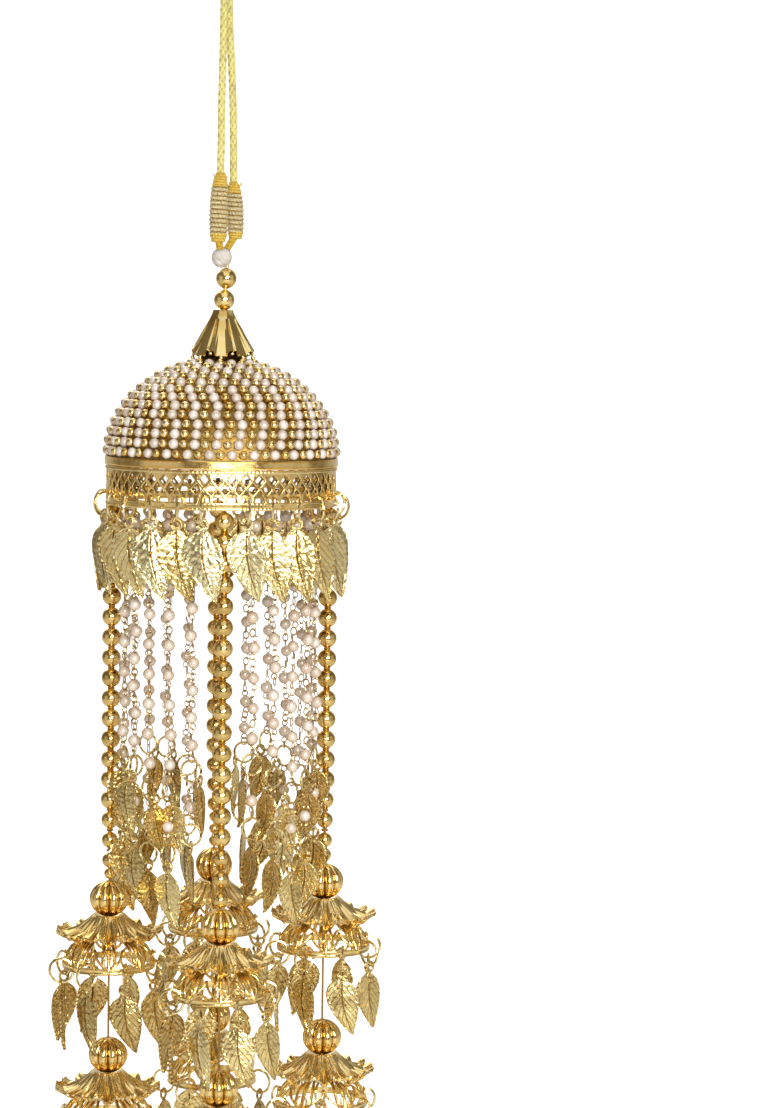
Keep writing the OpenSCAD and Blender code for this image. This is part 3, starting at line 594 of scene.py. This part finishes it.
grooves = [on_dome(FIRST_ROW + ROW_STEP * (k + part), out)
           for k in range(ROWS) for part, out in ((0, -0.1), (0.5, -0.55))]
crown = [(7.2, -106.2), (6.4, -105.9), (6.2, -103.7), (5.7, -103.3), (0.0, -103.3)]
inside = [on_dome(degrees, -DOME_SHEET) for degrees in range(90, -1, -6)]
profile = [(ROW_A - DOME_SHEET, RIM_Z), (ROW_A, RIM_Z)] + grooves + crown + inside
lay_down(turned(profile, 96), "dome_backing", groove_gold_in_painted_shade, "gold", sharp=70)
random.seed(11)
pearls, balls = [], []
for k in range(ROWS):
    row = FIRST_ROW + ROW_STEP * k
    pairs = max(6, round(RIM_PAIRS * cos(radians(row))))
    for i in range(2 * pairs):
        r = DOME_PEARL_R * random.uniform(0.96, 1.02) if i % 2 else GOLD_BALL_R
        wide, z = on_dome(row, 0.0 if i % 2 else 0.2)
        place = swung(180 / pairs * (i + k * 0.62)) @ moved(wide, 0, z) @ Matrix.Scale(r, 4)
        (pearls if i % 2 else balls).append((small_ball, place, random.uniform(-0.7, 0.7)))
lay_down(joined(pearls), "dome_pearls", dome_pearl, "dome_beads", "dome_shell")
lay_down(joined(balls), "dome_gold_balls", polished_gold, "gold")

# Plain strip
# A smooth turned strip soldered under the dome, polished so that it throws a bright highlight.
# A fine line is turned near each edge.
mirror_gold = finish("polished strip", (1.0, 0.74, 0.3), (0.7, 0.42, 0.12), GOLD_PALE, 180, (0.14, 0.26),
                     dents=(300, 0.1, 0.08))
STRIP = [(31.1, -135.62), (32.7, -135.62), (32.95, -135.5), (33.0, -135.2), (32.85, -135.05), (33.0, -134.9),
         (33.0, -133.75), (32.85, -133.6), (33.0, -133.45), (32.9, -133.2), (32.6, -133.12), (31.1, -133.12),
         (31.1, -135.62)]
lay_down(turned(STRIP, 128), "plain_strip", mirror_gold, "gold", "rim_strip", sharp=35)

# Pierced band
# A band of sheet pierced with three rows of openings, two of diamonds and one of arches, with a
# milled line above and a milled edge below. A ledge inside it carries the strings.
COLUMNS = 52
COLUMN_STEP = 360 / COLUMNS
STRING_TURN = 5
BAND_TOP, BAND_LOW = -135.74, -146.74
BAND_R = 32.5
BAND_SHEET, BAND_EDGE = 0.9, 0.18
DIAMOND = (2.9, 3.4)
TOP_ROW, MIDDLE_ROW, SILL = -138.54, -140.86, -144.54
LINES = [(-136.3, 32.45, 0.42), (-144.95, 32.45, 0.26), (-146.35, 32.4, 0.4)]
TEETH = 180
LEDGE = [(25.9, -143.04), (31.9, -143.04), (31.9, -142.34), (25.9, -142.34), (25.9, -143.04)]


def band_cell():
    """One column of the band, flat: the outline with half diamonds in its sides, and two openings."""
    bm = bmesh.new()
    half = radians(COLUMN_STEP / 2) * BAND_R
    w, h = DIAMOND[0] / 2, DIAMOND[1] / 2

    def loop(points):
        verts = [bm.verts.new((x, 0, z)) for x, z in points]
        return [bm.edges.new(pair) for pair in zip(verts, verts[1:] + verts[:1])]

    edges = loop([(-half, BAND_LOW), (half, BAND_LOW), (half, MIDDLE_ROW - h), (half - w, MIDDLE_ROW),
                  (half, MIDDLE_ROW + h), (half, BAND_TOP), (-half, BAND_TOP), (-half, MIDDLE_ROW + h),
                  (w - half, MIDDLE_ROW), (-half, MIDDLE_ROW - h)])
    edges += loop([(-w, TOP_ROW), (0, TOP_ROW - h), (w, TOP_ROW), (0, TOP_ROW + h)])
    edges += loop([(-w * 1.1, SILL), (w * 1.1, SILL), (w * 0.45, SILL + DIAMOND[1] * 0.8), (0, SILL + DIAMOND[1]),
                   (-w * 0.45, SILL + DIAMOND[1] * 0.8)])
    bmesh.ops.triangle_fill(bm, use_beauty=True, edges=edges)
    for vert in bm.verts:
        turn = vert.co.x / BAND_R
        vert.co = (BAND_R * sin(turn), -BAND_R * cos(turn), vert.co.z)
    return as_item(bm)


cell = band_cell()
bm = joined([(cell, swung(STRING_TURN + COLUMN_STEP * (k + 0.5)), 0.0) for k in range(COLUMNS)])
bmesh.ops.remove_doubles(bm, verts=bm.verts, dist=1e-3)
faces_out(bm)
outward = sum(f.normal.dot(Vector((f.calc_center_median().x, f.calc_center_median().y, 0))) for f in bm.faces)
if outward < 0:
    bmesh.ops.reverse_faces(bm, faces=bm.faces)
pierced = lay_down(bm, "pierced_band", stamped_gold, "gold", sharp=35)
wall = pierced.modifiers.new("wall", "SOLIDIFY")
wall.thickness = BAND_SHEET * 0.001
wall.offset = -1
edge = pierced.modifiers.new("edge", "BEVEL")
edge.width = BAND_EDGE * 0.001
edge.segments = 2
edge.limit_method = "ANGLE"
edge.angle_limit = radians(50)


def milled_line(z, r, size):
    """A ring of fine round teeth."""
    def place(u, v):
        out = size * (0.55 + 0.45 * abs(sin(pi * u * TEETH)))
        return around(r + out * cos(2 * pi * v), 2 * pi * u, z + size * sin(2 * pi * v))

    return as_item(bent(TEETH * 4, 6, place))


copies = [(milled_line(*line), Matrix(), 0.2) for line in LINES] + [(as_item(turned(LEDGE, 96)), Matrix(), -0.3)]
lay_down(joined(copies), "band_lines_and_ledge", stamped_gold, "gold", "lattice_band", sharp=60)

# Jump rings and leaves of the band
# Twenty-four wire rings pass through the lowest arches, and each carries a stamped leaf with
# an eye, a swept tip, a raised rim with fine teeth, a midrib and slanting veins.
RING_R, WIRE = 3.4, 0.7
RING_OUT = 1.6
RING_WALL = 32.0
RING_Z, LEAF_Z = -146.54, -150.42
EYE_R, BLADE_TOP, LEAF_SHEET = 1.45, -1.6, 0.36
BAND_LEAF = (11.5, 19.7)
LEAF_TWIST = (0, 26, 30, 24, 32, 24)
LEAF_ROWS = [(0.00, -0.04, 0.04, 0.00), (0.05, -0.24, 0.20, 0.00), (0.14, -0.42, 0.36, -0.01),
             (0.26, -0.50, 0.46, -0.01), (0.40, -0.47, 0.50, 0.01), (0.54, -0.37, 0.50, 0.06),
             (0.68, -0.21, 0.47, 0.13), (0.82, -0.02, 0.42, 0.22), (0.93, 0.17, 0.37, 0.29), (1.00, 0.32, 0.34, 0.33)]
ACROSS = (0, 0.05, 0.11, 0.22, 0.34, 0.44, 0.5, 0.56, 0.66, 0.78, 0.89, 0.95, 1)
ACROSS_LIFT = (0.15, 0.3, 0.0, 0.12, 0.16, 0.05, 0.38, 0.05, 0.16, 0.12, 0.0, 0.3, 0.15)


def at_wall(angle, wall_r, twist, depth):
    return swung(angle) @ moved(0, -wall_r, 0) @ swung(-twist) @ moved(0, -RING_OUT, depth)


def wire_ring(r, wire, steps=28, sides=7):
    """A jump ring in the plane that goes outwards and up."""
    def place(u, v):
        out = r + wire / 2 * cos(2 * pi * v)
        return Vector((wire / 2 * sin(2 * pi * v), out * cos(2 * pi * u), out * sin(2 * pi * u)))

    return as_item(bent(steps, sides, place))


def leaf(w, l, rows=26):
    """A stamped leaf with its eye's middle at the origin, its face to the front."""
    def place(u, v):
        k = round(u * 12)
        i = next(n for n in range(len(LEAF_ROWS) - 1) if v <= LEAF_ROWS[n + 1][0])
        a, b = LEAF_ROWS[i], LEAF_ROWS[i + 1]
        t = (v - a[0]) / (b[0] - a[0])
        left, right, rib = (a[n] + (b[n] - a[n]) * t for n in (1, 2, 3))
        tooth = 0.012 if round(v * rows) % 2 else -0.012
        left, right = left - tooth * (0.1 < v < 0.97), right + tooth * (0.1 < v < 0.97)
        share = ACROSS[k]
        x = left + (rib - left) * share * 2 if share < 0.5 else rib + (right - rib) * (share - 0.5) * 2
        slim = min(1.0, v * 8, (1 - v) * 8 + 0.15)
        lift = ACROSS_LIFT[k] * slim
        cup = 0.5 * sin(pi * v) * (1 - (2 * share - 1) ** 2)
        veins = 0.1 * max(0.0, sin(2 * pi * (v * 7 - abs(share - 0.5) * 3))) * (0.1 < share < 0.9)
        return Vector((x * w, -(lift + cup + veins * slim), BLADE_TOP - v * l))

    # Painted light and painted shade in turn on the teeth of the raised rim.
    def rim_dot_light_and_shade(u, v):
        return (0.9 if round(v * rows) % 2 else -0.9) if round(u * 12) in (0, 1, 11, 12) else 0.0

    bm = bent(12, rows, place, closed=False, shade=rim_dot_light_and_shade)
    if sum(f.normal.y for f in bm.faces) > 0:
        bmesh.ops.reverse_faces(bm, faces=bm.faces)
    bmesh.ops.solidify(bm, geom=bm.faces, thickness=LEAF_SHEET)

    def eye_point(u, v):
        out = EYE_R + 0.48 * cos(2 * pi * v)
        return Vector((out * cos(2 * pi * u), 0.36 * sin(2 * pi * v) - 0.1, out * sin(2 * pi * u)))

    bm.from_mesh(as_item(bent(20, 7, eye_point)))
    return as_item(bm)


def leaf_relief(tree):
    """Hammered cups over the blade, with painted shade in the bottoms of the cups and as thin dark lines along the
    midrib and the slanting veins.
    """
    uv = node(tree, "TexCoord").outputs["UV"]
    part = node(tree, "SeparateXYZ", {"Vector": uv})
    away = reckoned(tree, "ABSOLUTE", reckoned(tree, "SUBTRACT", part.outputs["X"], 0.5))
    slant = reckoned(tree, "ADD", part.outputs["Y"], reckoned(tree, "MULTIPLY", away, -0.9))
    wave = reckoned(tree, "SINE", reckoned(tree, "MULTIPLY", slant, 50.0))
    drawn = reckoned(tree, "MAXIMUM", ranged(tree, wave, 0.86, 0.98, 0.0, 0.7),
                     ranged(tree, away, 0.02, 0.05, 1.0, 0.0))
    stretched = node(tree, "Mapping", {"Vector": uv, "Scale": (10.0, 19.0, 1.0)})
    cups = node(tree, "TexVoronoi", {"Vector": stretched.outputs[0], "Scale": 1.0},
                feature="SMOOTH_F1").outputs["Distance"]
    # Painted shade: dark lines in the midrib and vein grooves, and darker cup bottoms.
    shade = reckoned(tree, "MAXIMUM", drawn, ranged(tree, cups, 0.16, 0.06, 0.0, 0.5))
    return reckoned(tree, "SUBTRACT", cups, drawn), shade


leaf_gold = finish("hammered leaf gold", (1.0, 0.79, 0.34), (0.32, 0.17, 0.03), (1.0, 0.93, 0.58), 120, (0.16, 0.3),
                   dents=(700, 0.2, 0.08), relief=leaf_relief, raised=0.0004)
ring_wire = finish("bright ring wire", (1.0, 0.84, 0.44), (0.66, 0.42, 0.12), (1.0, 0.96, 0.7), 700, (0.1, 0.2),
                   dents=(1500, 0.2, 0.06))
jump_ring = wire_ring(RING_R, WIRE + 0.12)
band_leaf = leaf(*BAND_LEAF)


def leaf_twist(quarter, j):
    """The leaves of each two quarters turn towards the strand between them."""
    return LEAF_TWIST[j] if quarter % 2 == 0 else -LEAF_TWIST[5 - j]


random.seed(23)
rings, leaves = [], []
for quarter in range(4):
    for j in range(6):
        angle = STRING_TURN + 90 * quarter + (2 * j + 1.5) * COLUMN_STEP
        twist = leaf_twist(quarter, j)
        rings.append((jump_ring, at_wall(angle, RING_WALL, twist, RING_Z), random.uniform(-0.2, 0.3)))
        hung = at_wall(angle, RING_WALL, twist, LEAF_Z) @ swung(random.uniform(-3, 3), "X")
        leaves.append((band_leaf, hung, random.uniform(-0.4, 0.8)))
lay_down(joined(rings), "band_jump_rings", ring_wire, "gold", "band_rings")
lay_down(joined(leaves), "band_stamped_leaves", leaf_gold, "leaf_gold", "band_leaves")

# Gold bead strands
# Four strands of hollow plated beads, the last three smaller, with a seed bead between each two
# and smaller round beads on the rest of the thread.
STRAND_R = 30.6
BEAD_R, BEAD_HOLE, BEAD_LONG = 2.7, 0.46, 5.5
SMALL_PITCH, SMALL_GAP = 3.6, 0.3
LAST_BEADS = (0.8, 0.86, 0.92)
BEADS = (19, 17, 16, 18)
FIRST_BEAD, BEAD_PITCH = -149.84, 5.8
THREAD_LEFT = (0.0, 4.35, 10.73, 3.48)
SIDES = ("front", "right", "back", "left")
QUARTERS = ("front_right", "back_right", "back_left", "front_left")
gold_bead = as_item(turned(bead_profile(BEAD_R, BEAD_HOLE, 12), 28))
seed_bead = as_item(turned([(0.35, -0.4), (0.8, -0.35), (1.1, 0), (0.8, 0.35), (0.35, 0.4)], 12))
strand_thread = finish("strand thread", (0.45, 0.27, 0.08), (0.2, 0.1, 0.02), (0.75, 0.5, 0.2), 1500, (0.4, 0.6),
                       metallic=0.3, dents=(3000, 0.8, 0.5))


def at_strand(side):
    return swung(STRING_TURN + 90 * side) @ moved(0, -STRAND_R, 0)


for side, word in enumerate(SIDES):
    copies = []
    for i in range(BEADS[side]):
        z = FIRST_BEAD - BEAD_PITCH * i
        up = BEADS[side] - 1 - i
        share = LAST_BEADS[up] if up < 3 else 1
        turn = Matrix.Rotation(random.uniform(0, 6), 4, "Z")
        place = at_strand(side) @ moved(0, 0, z) @ turn @ Matrix.Scale(share, 4)
        copies.append((gold_bead, place, random.uniform(-0.75, -0.1)))
        if up:
            # The seed beads in the gaps between the beads are painted darker, as shade.
            copies.append((seed_bead, at_strand(side) @ moved(0, 0, z - BEAD_PITCH / 2), -0.8))
    small = round(THREAD_LEFT[side] / SMALL_PITCH)
    for k in range(small):
        room = THREAD_LEFT[side] / small
        place = at_strand(side) @ moved(0, 0, z - 2.1 - room * (k + 0.5))
        copies.append((gold_bead, place @ Matrix.Scale((room - SMALL_GAP) / BEAD_LONG, 4), 0.0))
    lay_down(joined(copies), f"strand_{word}", polished_gold, "gold", f"strand_{word}_beads")
    refinish(f"strand_{word}_thread", strand_thread)

# Pearl chains
# Twenty chains of plastic pearls, each pearl wired with an eye above and below and joined to the
# next by a small ring. A jump ring with a leaf beside it joins in the last pearl, and another
# carries the end leaf. Next to a strand the end leaf turns its face to it.
CHAIN_R = 28.0
CHAIN_TOP, SHORTEST, LONGER = -149.0, 80, 9
CHAIN_PEARL_R = 1.75
CHAIN_LEAF = (9.5, 15.5)
CHAIN_RING = 0.86
LEAF_HANG, LEAF_GAP = -3.5, 3.0
LINK_R, LINK_WIRE = 0.8, 0.36
STEM_Z, HOOK_Z, FIRST_PEARL = -145.4, -141.55, -151.2
PEARL_GAP, PEARL_PITCH = 17.3, 8.0
END_RING, MIDDLE_RING = 7.7, 10.1
FLOWER_TOP = (-265.89, -258.64, -259.22, -263.57)
# The rim colour paints shade at the pearls' edges.
chain_pearl = finish("chain pearl", (0.86, 0.72, 0.58), (0.66, 0.47, 0.32), (0.96, 0.9, 0.82), 420, (0.1, 0.2),
                     metallic=0.0, dents=(700, 0.2, 0.03), shell=PEARL_SHELL, rim=(0.5, 0.3, 0.16))
link_wire = finish("link wire", (0.72, 0.52, 0.26), (0.36, 0.22, 0.09), (0.98, 0.9, 0.7), 900, (0.18, 0.3),
                   dents=(2500, 0.3, 0.2))
link_ring = wire_ring(LINK_R, LINK_WIRE, 12, 4)
link_stem = as_item(turned([(0, 0.5), (0.15, 0.5), (0.15, -0.5), (0, -0.5)], 5))
chain_leaf = leaf(*CHAIN_LEAF, 22)


def wire_shade():
    return random.uniform(-0.6, 0.5)


def any_turn():
    return Matrix.Rotation(random.uniform(0, pi), 4, "Z")


random.seed(37)
for quarter, word in enumerate(QUARTERS):
    pearls, wires, hung = [], [], []
    for j in range(5):
        angle = STRING_TURN + 90 * quarter + (2 * j + 2.5) * COLUMN_STEP
        length = SHORTEST + LONGER * (0.5 - 0.5 * cos(2 * pi * (0.23 * j + 0.31 * quarter)))
        line = swung(angle) @ moved(0, -CHAIN_R, 0)
        wires.append((link_stem, line @ moved(0, 0, STEM_Z) @ Matrix.Diagonal((1.4, 1.4, 7.6, 1)), 0.0))
        wires.append((small_ball, line @ moved(0, 0, HOOK_Z) @ Matrix.Scale(0.7, 4), 0.2))
        last = CHAIN_TOP - length + CHAIN_PEARL_R
        room = FIRST_PEARL - last - PEARL_GAP
        pitch = room / round(room / PEARL_PITCH)
        for z in [FIRST_PEARL - pitch * i for i in range(round(room / PEARL_PITCH) + 1)] + [last]:
            sway = (random.uniform(-0.5, 0.5), random.uniform(-0.5, 0.5)) if z != last else (0, 0)
            here = line @ moved(*sway, z)
            tip = Matrix.Rotation(random.uniform(-0.25, 0.25), 4, "Y")
            spin = any_turn()
            size = CHAIN_PEARL_R * random.uniform(0.94, 1.03)
            pearls.append((small_ball, here @ Matrix.Scale(size, 4), random.uniform(-0.7, 0.7)))
            for end in (-2.5, 2.5):
                wires.append((link_ring, here @ tip @ moved(0, 0, end) @ spin, wire_shade()))
            if z != last:
                between = line @ moved(sway[0] / 2, sway[1] / 2, z - pitch / 2) @ any_turn()
                wires.append((link_ring, between @ Matrix.Diagonal((1, 1, 1.35, 1)), wire_shade()))
        for z in (last + 6.3, last + 4.6, last - 3.9):
            wires.append((link_ring, line @ moved(0, 0, z) @ any_turn(), wire_shade()))
        side = (quarter + (j > 2)) % 4
        turn = 90 if j in (0, 4) or (j + quarter) % 2 else 0
        way = 1 if (j < 2) == (turn == 90) else -1
        middle = line @ moved(0, 0, last + MIDDLE_RING) @ swung(turn + random.uniform(-12, 12))
        hung.append((jump_ring, middle @ Matrix.Scale(CHAIN_RING, 4), 0.2))
        beside = middle @ moved(0, 2.6 * way, -2.5) @ Matrix.Scale(0.9, 4)
        hung.append((chain_leaf, beside, random.uniform(-0.7, 0.3)))
        lowest = line @ moved(0, 0, last - END_RING) @ swung(turn + random.uniform(-12, 12))
        free = last - END_RING + LEAF_HANG - FLOWER_TOP[side] + LEAF_GAP
        size = 1.0 if j == 2 else min(1.0, free / (CHAIN_LEAF[1] - BLADE_TOP))
        hung.append((jump_ring, lowest @ Matrix.Scale(CHAIN_RING, 4), 0.2))
        hung.append((chain_leaf, lowest @ moved(0, 0, LEAF_HANG) @ Matrix.Scale(size, 4), wire_shade()))
    lay_down(joined(pearls), f"chain_pearls_{word}", chain_pearl, "pearl", f"pearl_chains_{word}")
    lay_down(joined(wires), f"chain_links_{word}", link_wire, "gold")
    lay_down(joined(hung), f"chain_end_leaves_{word}", leaf_gold, "leaf_gold")

# Melon beads
# A fluted hollow bead over each flower cap, pressed in two halves, with ten lobes and a small
# turned collar where the thread goes in.
TIER_PITCH = 45.2
FLUTES = 10
MELON_R, MELON_H, MELON_UP = 5.6, 5.15, 4.12
COLLAR_Z = 4.9
PENDANTS = [(side, word, tier) for side, word in enumerate(SIDES) for tier in range(2)]


def at_flower(side, tier, up=0.0):
    """The top of a strand's upper or lower flower cap."""
    return at_strand(side) @ moved(0, 0, FLOWER_TOP[side] - TIER_PITCH * tier + up)


def melon_point(u, v):
    tilt, turn = pi * (v - 0.5), 2 * pi * u
    lobe = abs(sin(FLUTES * turn / 2))
    r = MELON_R * (0.76 + 0.24 * lobe ** 0.6) * cos(tilt)
    return around(max(r, 0.45), turn, MELON_H * sin(tilt))


# Painted shade in the grooves between the lobes.
melon = as_item(bent(80, 22, melon_point, shade=lambda u, v: -1.1 * (1 - abs(sin(FLUTES * pi * u))) ** 2))
collar = wire_ring(0.95, 0.5, 16, 6)
for side, word, tier in PENDANTS:
    middle = at_flower(side, tier, MELON_UP)
    ends = [(collar, middle @ moved(0, 0, z) @ swung(90, "Y"), 0.3) for z in (COLLAR_Z, -COLLAR_Z)]
    lay_down(joined([(melon, middle, 0.0)] + ends), f"fluted_bead_{word}_{tier + 1}", polished_gold, "gold",
             f"melon_{word}_{tier + 1}")

# Flower caps
# A cup under each melon bead spreads into eight stamped petals of two lobes, ribbed along their
# length, with tips that turn up. All is stamped from one thin sheet.
FLOWER_ROWS = [(0.0, 0.0, 0.0), (0.17, 0.34, 0.35), (0.49, 0.80, 0.8), (0.79, 1.00, 1.0), (1.00, 0.78, 1.0)]
FLOWER_PETALS = 8
CUP_R, FLOWER_R = 4.3, 15
CUP_SHARE = 0.18
FLOWER_DROP = 6
FLOWER_SHEET = 0.4
RIBS = 6


def flower_point(u, v):
    petal = u * FLOWER_PETALS % 1
    if v < CUP_SHARE:
        share = v / CUP_SHARE
        return around(0.5 + (CUP_R - 0.5) * share, 2 * pi * u, -1.15 * (1 - max(0.0, share - 0.6) / 0.4))
    out = (v - CUP_SHARE) / (1 - CUP_SHARE)
    i = next(n for n in range(4) if out <= FLOWER_ROWS[n + 1][0] + 1e-9)
    a, b = FLOWER_ROWS[i], FLOWER_ROWS[i + 1]
    t = (out - a[0]) / (b[0] - a[0])
    drop, ripple = a[1] + (b[1] - a[1]) * t, a[2] + (b[2] - a[2]) * t
    lobes = -0.04 - 0.42 * cos(2 * pi * petal) - 0.54 * cos(4 * pi * petal)
    cut = exp(-(min(petal, 1 - petal) / 0.07) ** 2)
    notch = exp(-((petal - 0.5) / 0.07) ** 2)
    reach = 1 - 0.28 * cut - 0.13 * notch
    r = CUP_R + (FLOWER_R * (1 - out + out * reach) - CUP_R) * out
    ribs = 0.26 * sin(2 * pi * petal * RIBS) * min(1.0, out * 2)
    return around(r, 2 * pi * u, -drop * FLOWER_DROP + 0.9 * ripple * lobes + ribs - cut * out)


# Painted shade in the valleys between the ribs, the rest a little paler.
def flower_shade(u, v):
    return 0.3 - 1.1 * max(0.0, -sin(2 * pi * (u * FLOWER_PETALS % 1) * RIBS)) ** 3 * (v > 0.3)


bm = bent(192, 20, flower_point, shade=flower_shade)
if sum(f.normal.z for f in bm.faces) < 0:
    bmesh.ops.reverse_faces(bm, faces=bm.faces)
bmesh.ops.solidify(bm, geom=bm.faces, thickness=FLOWER_SHEET)
flower = as_item(bm)
random.seed(5)
for side, word, tier in PENDANTS:
    lay_down(joined([(flower, at_flower(side, tier), random.uniform(-0.2, 0.2))]), f"petal_flower_{word}_{tier + 1}",
             stamped_gold, "gold", f"flower_{word}_{tier + 1}", sharp=60)

# Openwork bells
# Under each flower hangs an openwork bell: ribs of three drawn wires curve out and down from a
# hub, part into arches and meet a double rim, whose gaps take the jump rings.
BELL_R = 13.2
BELL_RINGS = (8, 6)
HUB_TOP, BELL_LOW = -1.99, -15.5
RIB_WIRE, SIDE_WIRE, ARCH_WIRE, EYE_WIRE = 0.55, 0.45, 0.42, 0.32
BELL_ROWS = [(0.12, 0.28), (0.34, 0.32), (0.58, 0.42), (0.80, 0.55), (0.93, 0.74), (0.985, 0.88), (1.00, 1.00)]
BELL_RIM = [(12.3, -15.5), (13.1, -15.5), (13.25, -15.3), (13.0, -15.1), (12.95, -14.2), (13.2, -14.0),
            (13.1, -13.75), (12.3, -13.75), (12.3, -15.5)]
HUB = [(0.45, -1.99), (2.0, -1.99), (2.1, -5.4), (4.7, -6.2), (4.6, -7.1), (0.45, -7.1), (0.45, -1.99)]


def bell_point(share, turn, lift=0.0):
    """A point of the bell's outer face: share 0 at the hub, 1 at the rim, turn in degrees."""
    place = share * (len(BELL_ROWS) - 1)
    i = min(int(place), len(BELL_ROWS) - 2)
    a, b = Vector(BELL_ROWS[i]), Vector(BELL_ROWS[i + 1])
    row = a.lerp(b, place - i)
    return around(row.x * BELL_R - 0.45 + lift, radians(turn - 90), HUB_TOP + (BELL_LOW - HUB_TOP) * row.y)


def bell(gaps):
    """The bell's pieces: ribs, side ribs, arches and eyes of wire, the rim and the hub."""
    bm = bmesh.new()
    step = 360 / gaps
    for k in range(gaps):
        middle = step * k
        drawn_wire(bm, [bell_point(s / 14, middle, 0.25) for s in range(15)], RIB_WIRE)
        for way in (-step, step):
            side_rib = [bell_point(s / 14, middle + way * (0.04 + 0.16 * sin(pi * (s / 14) ** 1.2)))
                        for s in range(15)]
            drawn_wire(bm, side_rib, SIDE_WIRE)
            arch = [bell_point(0.45 + 0.47 * s / 12, middle + way * (0.06 + 0.44 * cos(pi / 2 * s / 12) ** 2), 0.15)
                    for s in range(13)]
            drawn_wire(bm, arch, ARCH_WIRE)
        eye = [bell_point(0.68, middle) + swung(middle) @ Vector((1.5 * sin(t * pi / 6), -0.5, 1.5 * cos(t * pi / 6)))
               for t in range(13)]
        drawn_wire(bm, eye, EYE_WIRE)
    return [(as_item(bm), 0.0), (as_item(turned(BELL_RIM, 72)), 0.2), (as_item(turned(HUB, 32)), -0.3)]


bells = [bell(n) for n in BELL_RINGS]
for side, word, tier in PENDANTS:
    bm = joined([(shape, at_flower(side, tier), tint) for shape, tint in bells[tier]])
    faces_out(bm)
    lay_down(bm, f"openwork_bell_{word}_{tier + 1}", stamped_gold, "gold", f"bell_{word}_{tier + 1}", sharp=60)

# Rings and leaves of the bells
# The bells carry smaller leaves on the same jump rings, eight on the upper tier and six on the
# lower, and they hang free and turned, so that many show their edges.
BELL_WALL, BELL_TWIST = 12.75, 30
RING_DOWN, LEAF_DOWN = -15.65, -19.53
BELL_LEAF = (9.5, 16.6)
bell_leaf = leaf(*BELL_LEAF)
random.seed(61)
for side, word in enumerate(SIDES):
    rings, leaves = [], []
    for tier in range(2):
        for k in range(BELL_RINGS[tier]):
            angle = 360 * (k + 0.5) / BELL_RINGS[tier]
            ring = at_flower(side, tier) @ at_wall(angle, BELL_WALL, BELL_TWIST, RING_DOWN)
            hung = at_flower(side, tier) @ at_wall(angle, BELL_WALL, BELL_TWIST, LEAF_DOWN)
            hung = hung @ swung(random.uniform(-4, 4), "X")
            rings.append((jump_ring, ring, random.uniform(-0.2, 0.3)))
            leaves.append((bell_leaf, hung, random.uniform(-0.7, 0.4)))
    lay_down(joined(rings), f"bell_jump_rings_{word}", ring_wire, "gold", f"bell_rings_{word}")
    lay_down(joined(leaves), f"bell_stamped_leaves_{word}", leaf_gold, "leaf_gold", f"bell_leaves_{word}")

# Floor and light
# A plain pale floor that rises behind the ornament, a large soft light at the front right, one
# beside the camera, weaker ones at the front left, above and at the right, and two behind.
SWEEP = [(-3.0, 0), (1.3, 0), (1.7, 0.1), (2.0, 0.38), (2.1, 0.8), (2.1, 3.0)]


def sweep_point(u, v):
    place = v * (len(SWEEP) - 1)
    i = min(int(place), len(SWEEP) - 2)
    y, z = Vector(SWEEP[i]).lerp(Vector(SWEEP[i + 1]), place - i)
    return Vector(((u - 0.5) * 7, y, z - 0.5))


sweep = bmesh.new()
bent_grid(sweep, 8, 20, sweep_point, closed=False)
mesh = bpy.data.meshes.new("floor")
sweep.to_mesh(mesh)
sweep.free()
mesh.shade_smooth()
floor = bpy.data.objects.new("floor", mesh)
bpy.context.scene.collection.objects.link(floor)
paper = bpy.data.materials.new("pale paper")
paper.use_nodes = True
paper_shader = paper.node_tree.nodes["Principled BSDF"]
paper_grain = node(paper.node_tree, "TexNoise", {"Scale": 60.0, "Detail": 2.0,
                                                  "Vector": node(paper.node_tree, "TexCoord").outputs["Object"]})
paper_tone = mixed(paper.node_tree, paper_grain.outputs[0], (0.8, 0.8, 0.79, 1), (0.84, 0.84, 0.83, 1))
paper.node_tree.links.new(paper_tone, paper_shader.inputs["Base Color"])
paper_shader.inputs["Roughness"].default_value = 0.9
paper_shader.inputs["Emission Color"].default_value = (1, 1, 1, 1)
paper_seen = node(paper.node_tree, "LightPath")
paper_level = ranged(paper.node_tree, paper_seen.outputs["Is Camera Ray"], 0.0, 1.0, 0.0, 0.75)
paper.node_tree.links.new(paper_level, paper_shader.inputs["Emission Strength"])
mesh.materials.append(paper)

LIGHTS = [("key", (0.45, -1.15, 0.15), 0.5, 8.0), ("front", (0.05, -1.5, 0.05), 0.4, 6.0),
          ("fill", (-1.3, -0.8, -0.1), 1.2, 1.6), ("top", (0.1, -0.8, 1.2), 1.6, 6.0),
          ("side", (1.2, -0.35, 0.0), 1.2, 1.4),
          ("back", (-0.5, 1.0, 0.7), 0.8, 3.0), ("wash", (0.0, 0.9, 1.6), 1.6, 16.0)]
SKY_LEVEL = 0.19
for name, spot, size, power in LIGHTS:
    lamp = bpy.data.lights.new(name, "AREA")
    lamp.shape = "SQUARE"
    lamp.size = size
    lamp.energy = power
    holder = bpy.data.objects.new(name, lamp)
    aim = Vector((0, 2.0, -0.2)) if name == "wash" else Vector((0, 0, -0.18))
    holder.location = spot
    holder.rotation_mode = "QUATERNION"
    holder.rotation_quaternion = (aim - Vector(spot)).to_track_quat("-Z", "Y")
    bpy.context.scene.collection.objects.link(holder)

world = bpy.data.worlds.new("studio")
bpy.context.scene.world = world
world.use_nodes = True
sky = world.node_tree.nodes["Background"]
seen = node(world.node_tree, "LightPath").outputs["Is Camera Ray"]
world.node_tree.links.new(ranged(world.node_tree, seen, 0.0, 1.0, SKY_LEVEL, 1.0), sky.inputs["Strength"])
warm = mixed(world.node_tree, seen, (1, 0.84, 0.62, 1), (1, 0.99, 0.97, 1))
world.node_tree.links.new(warm, sky.inputs["Color"])

bpy.context.view_layer.update()
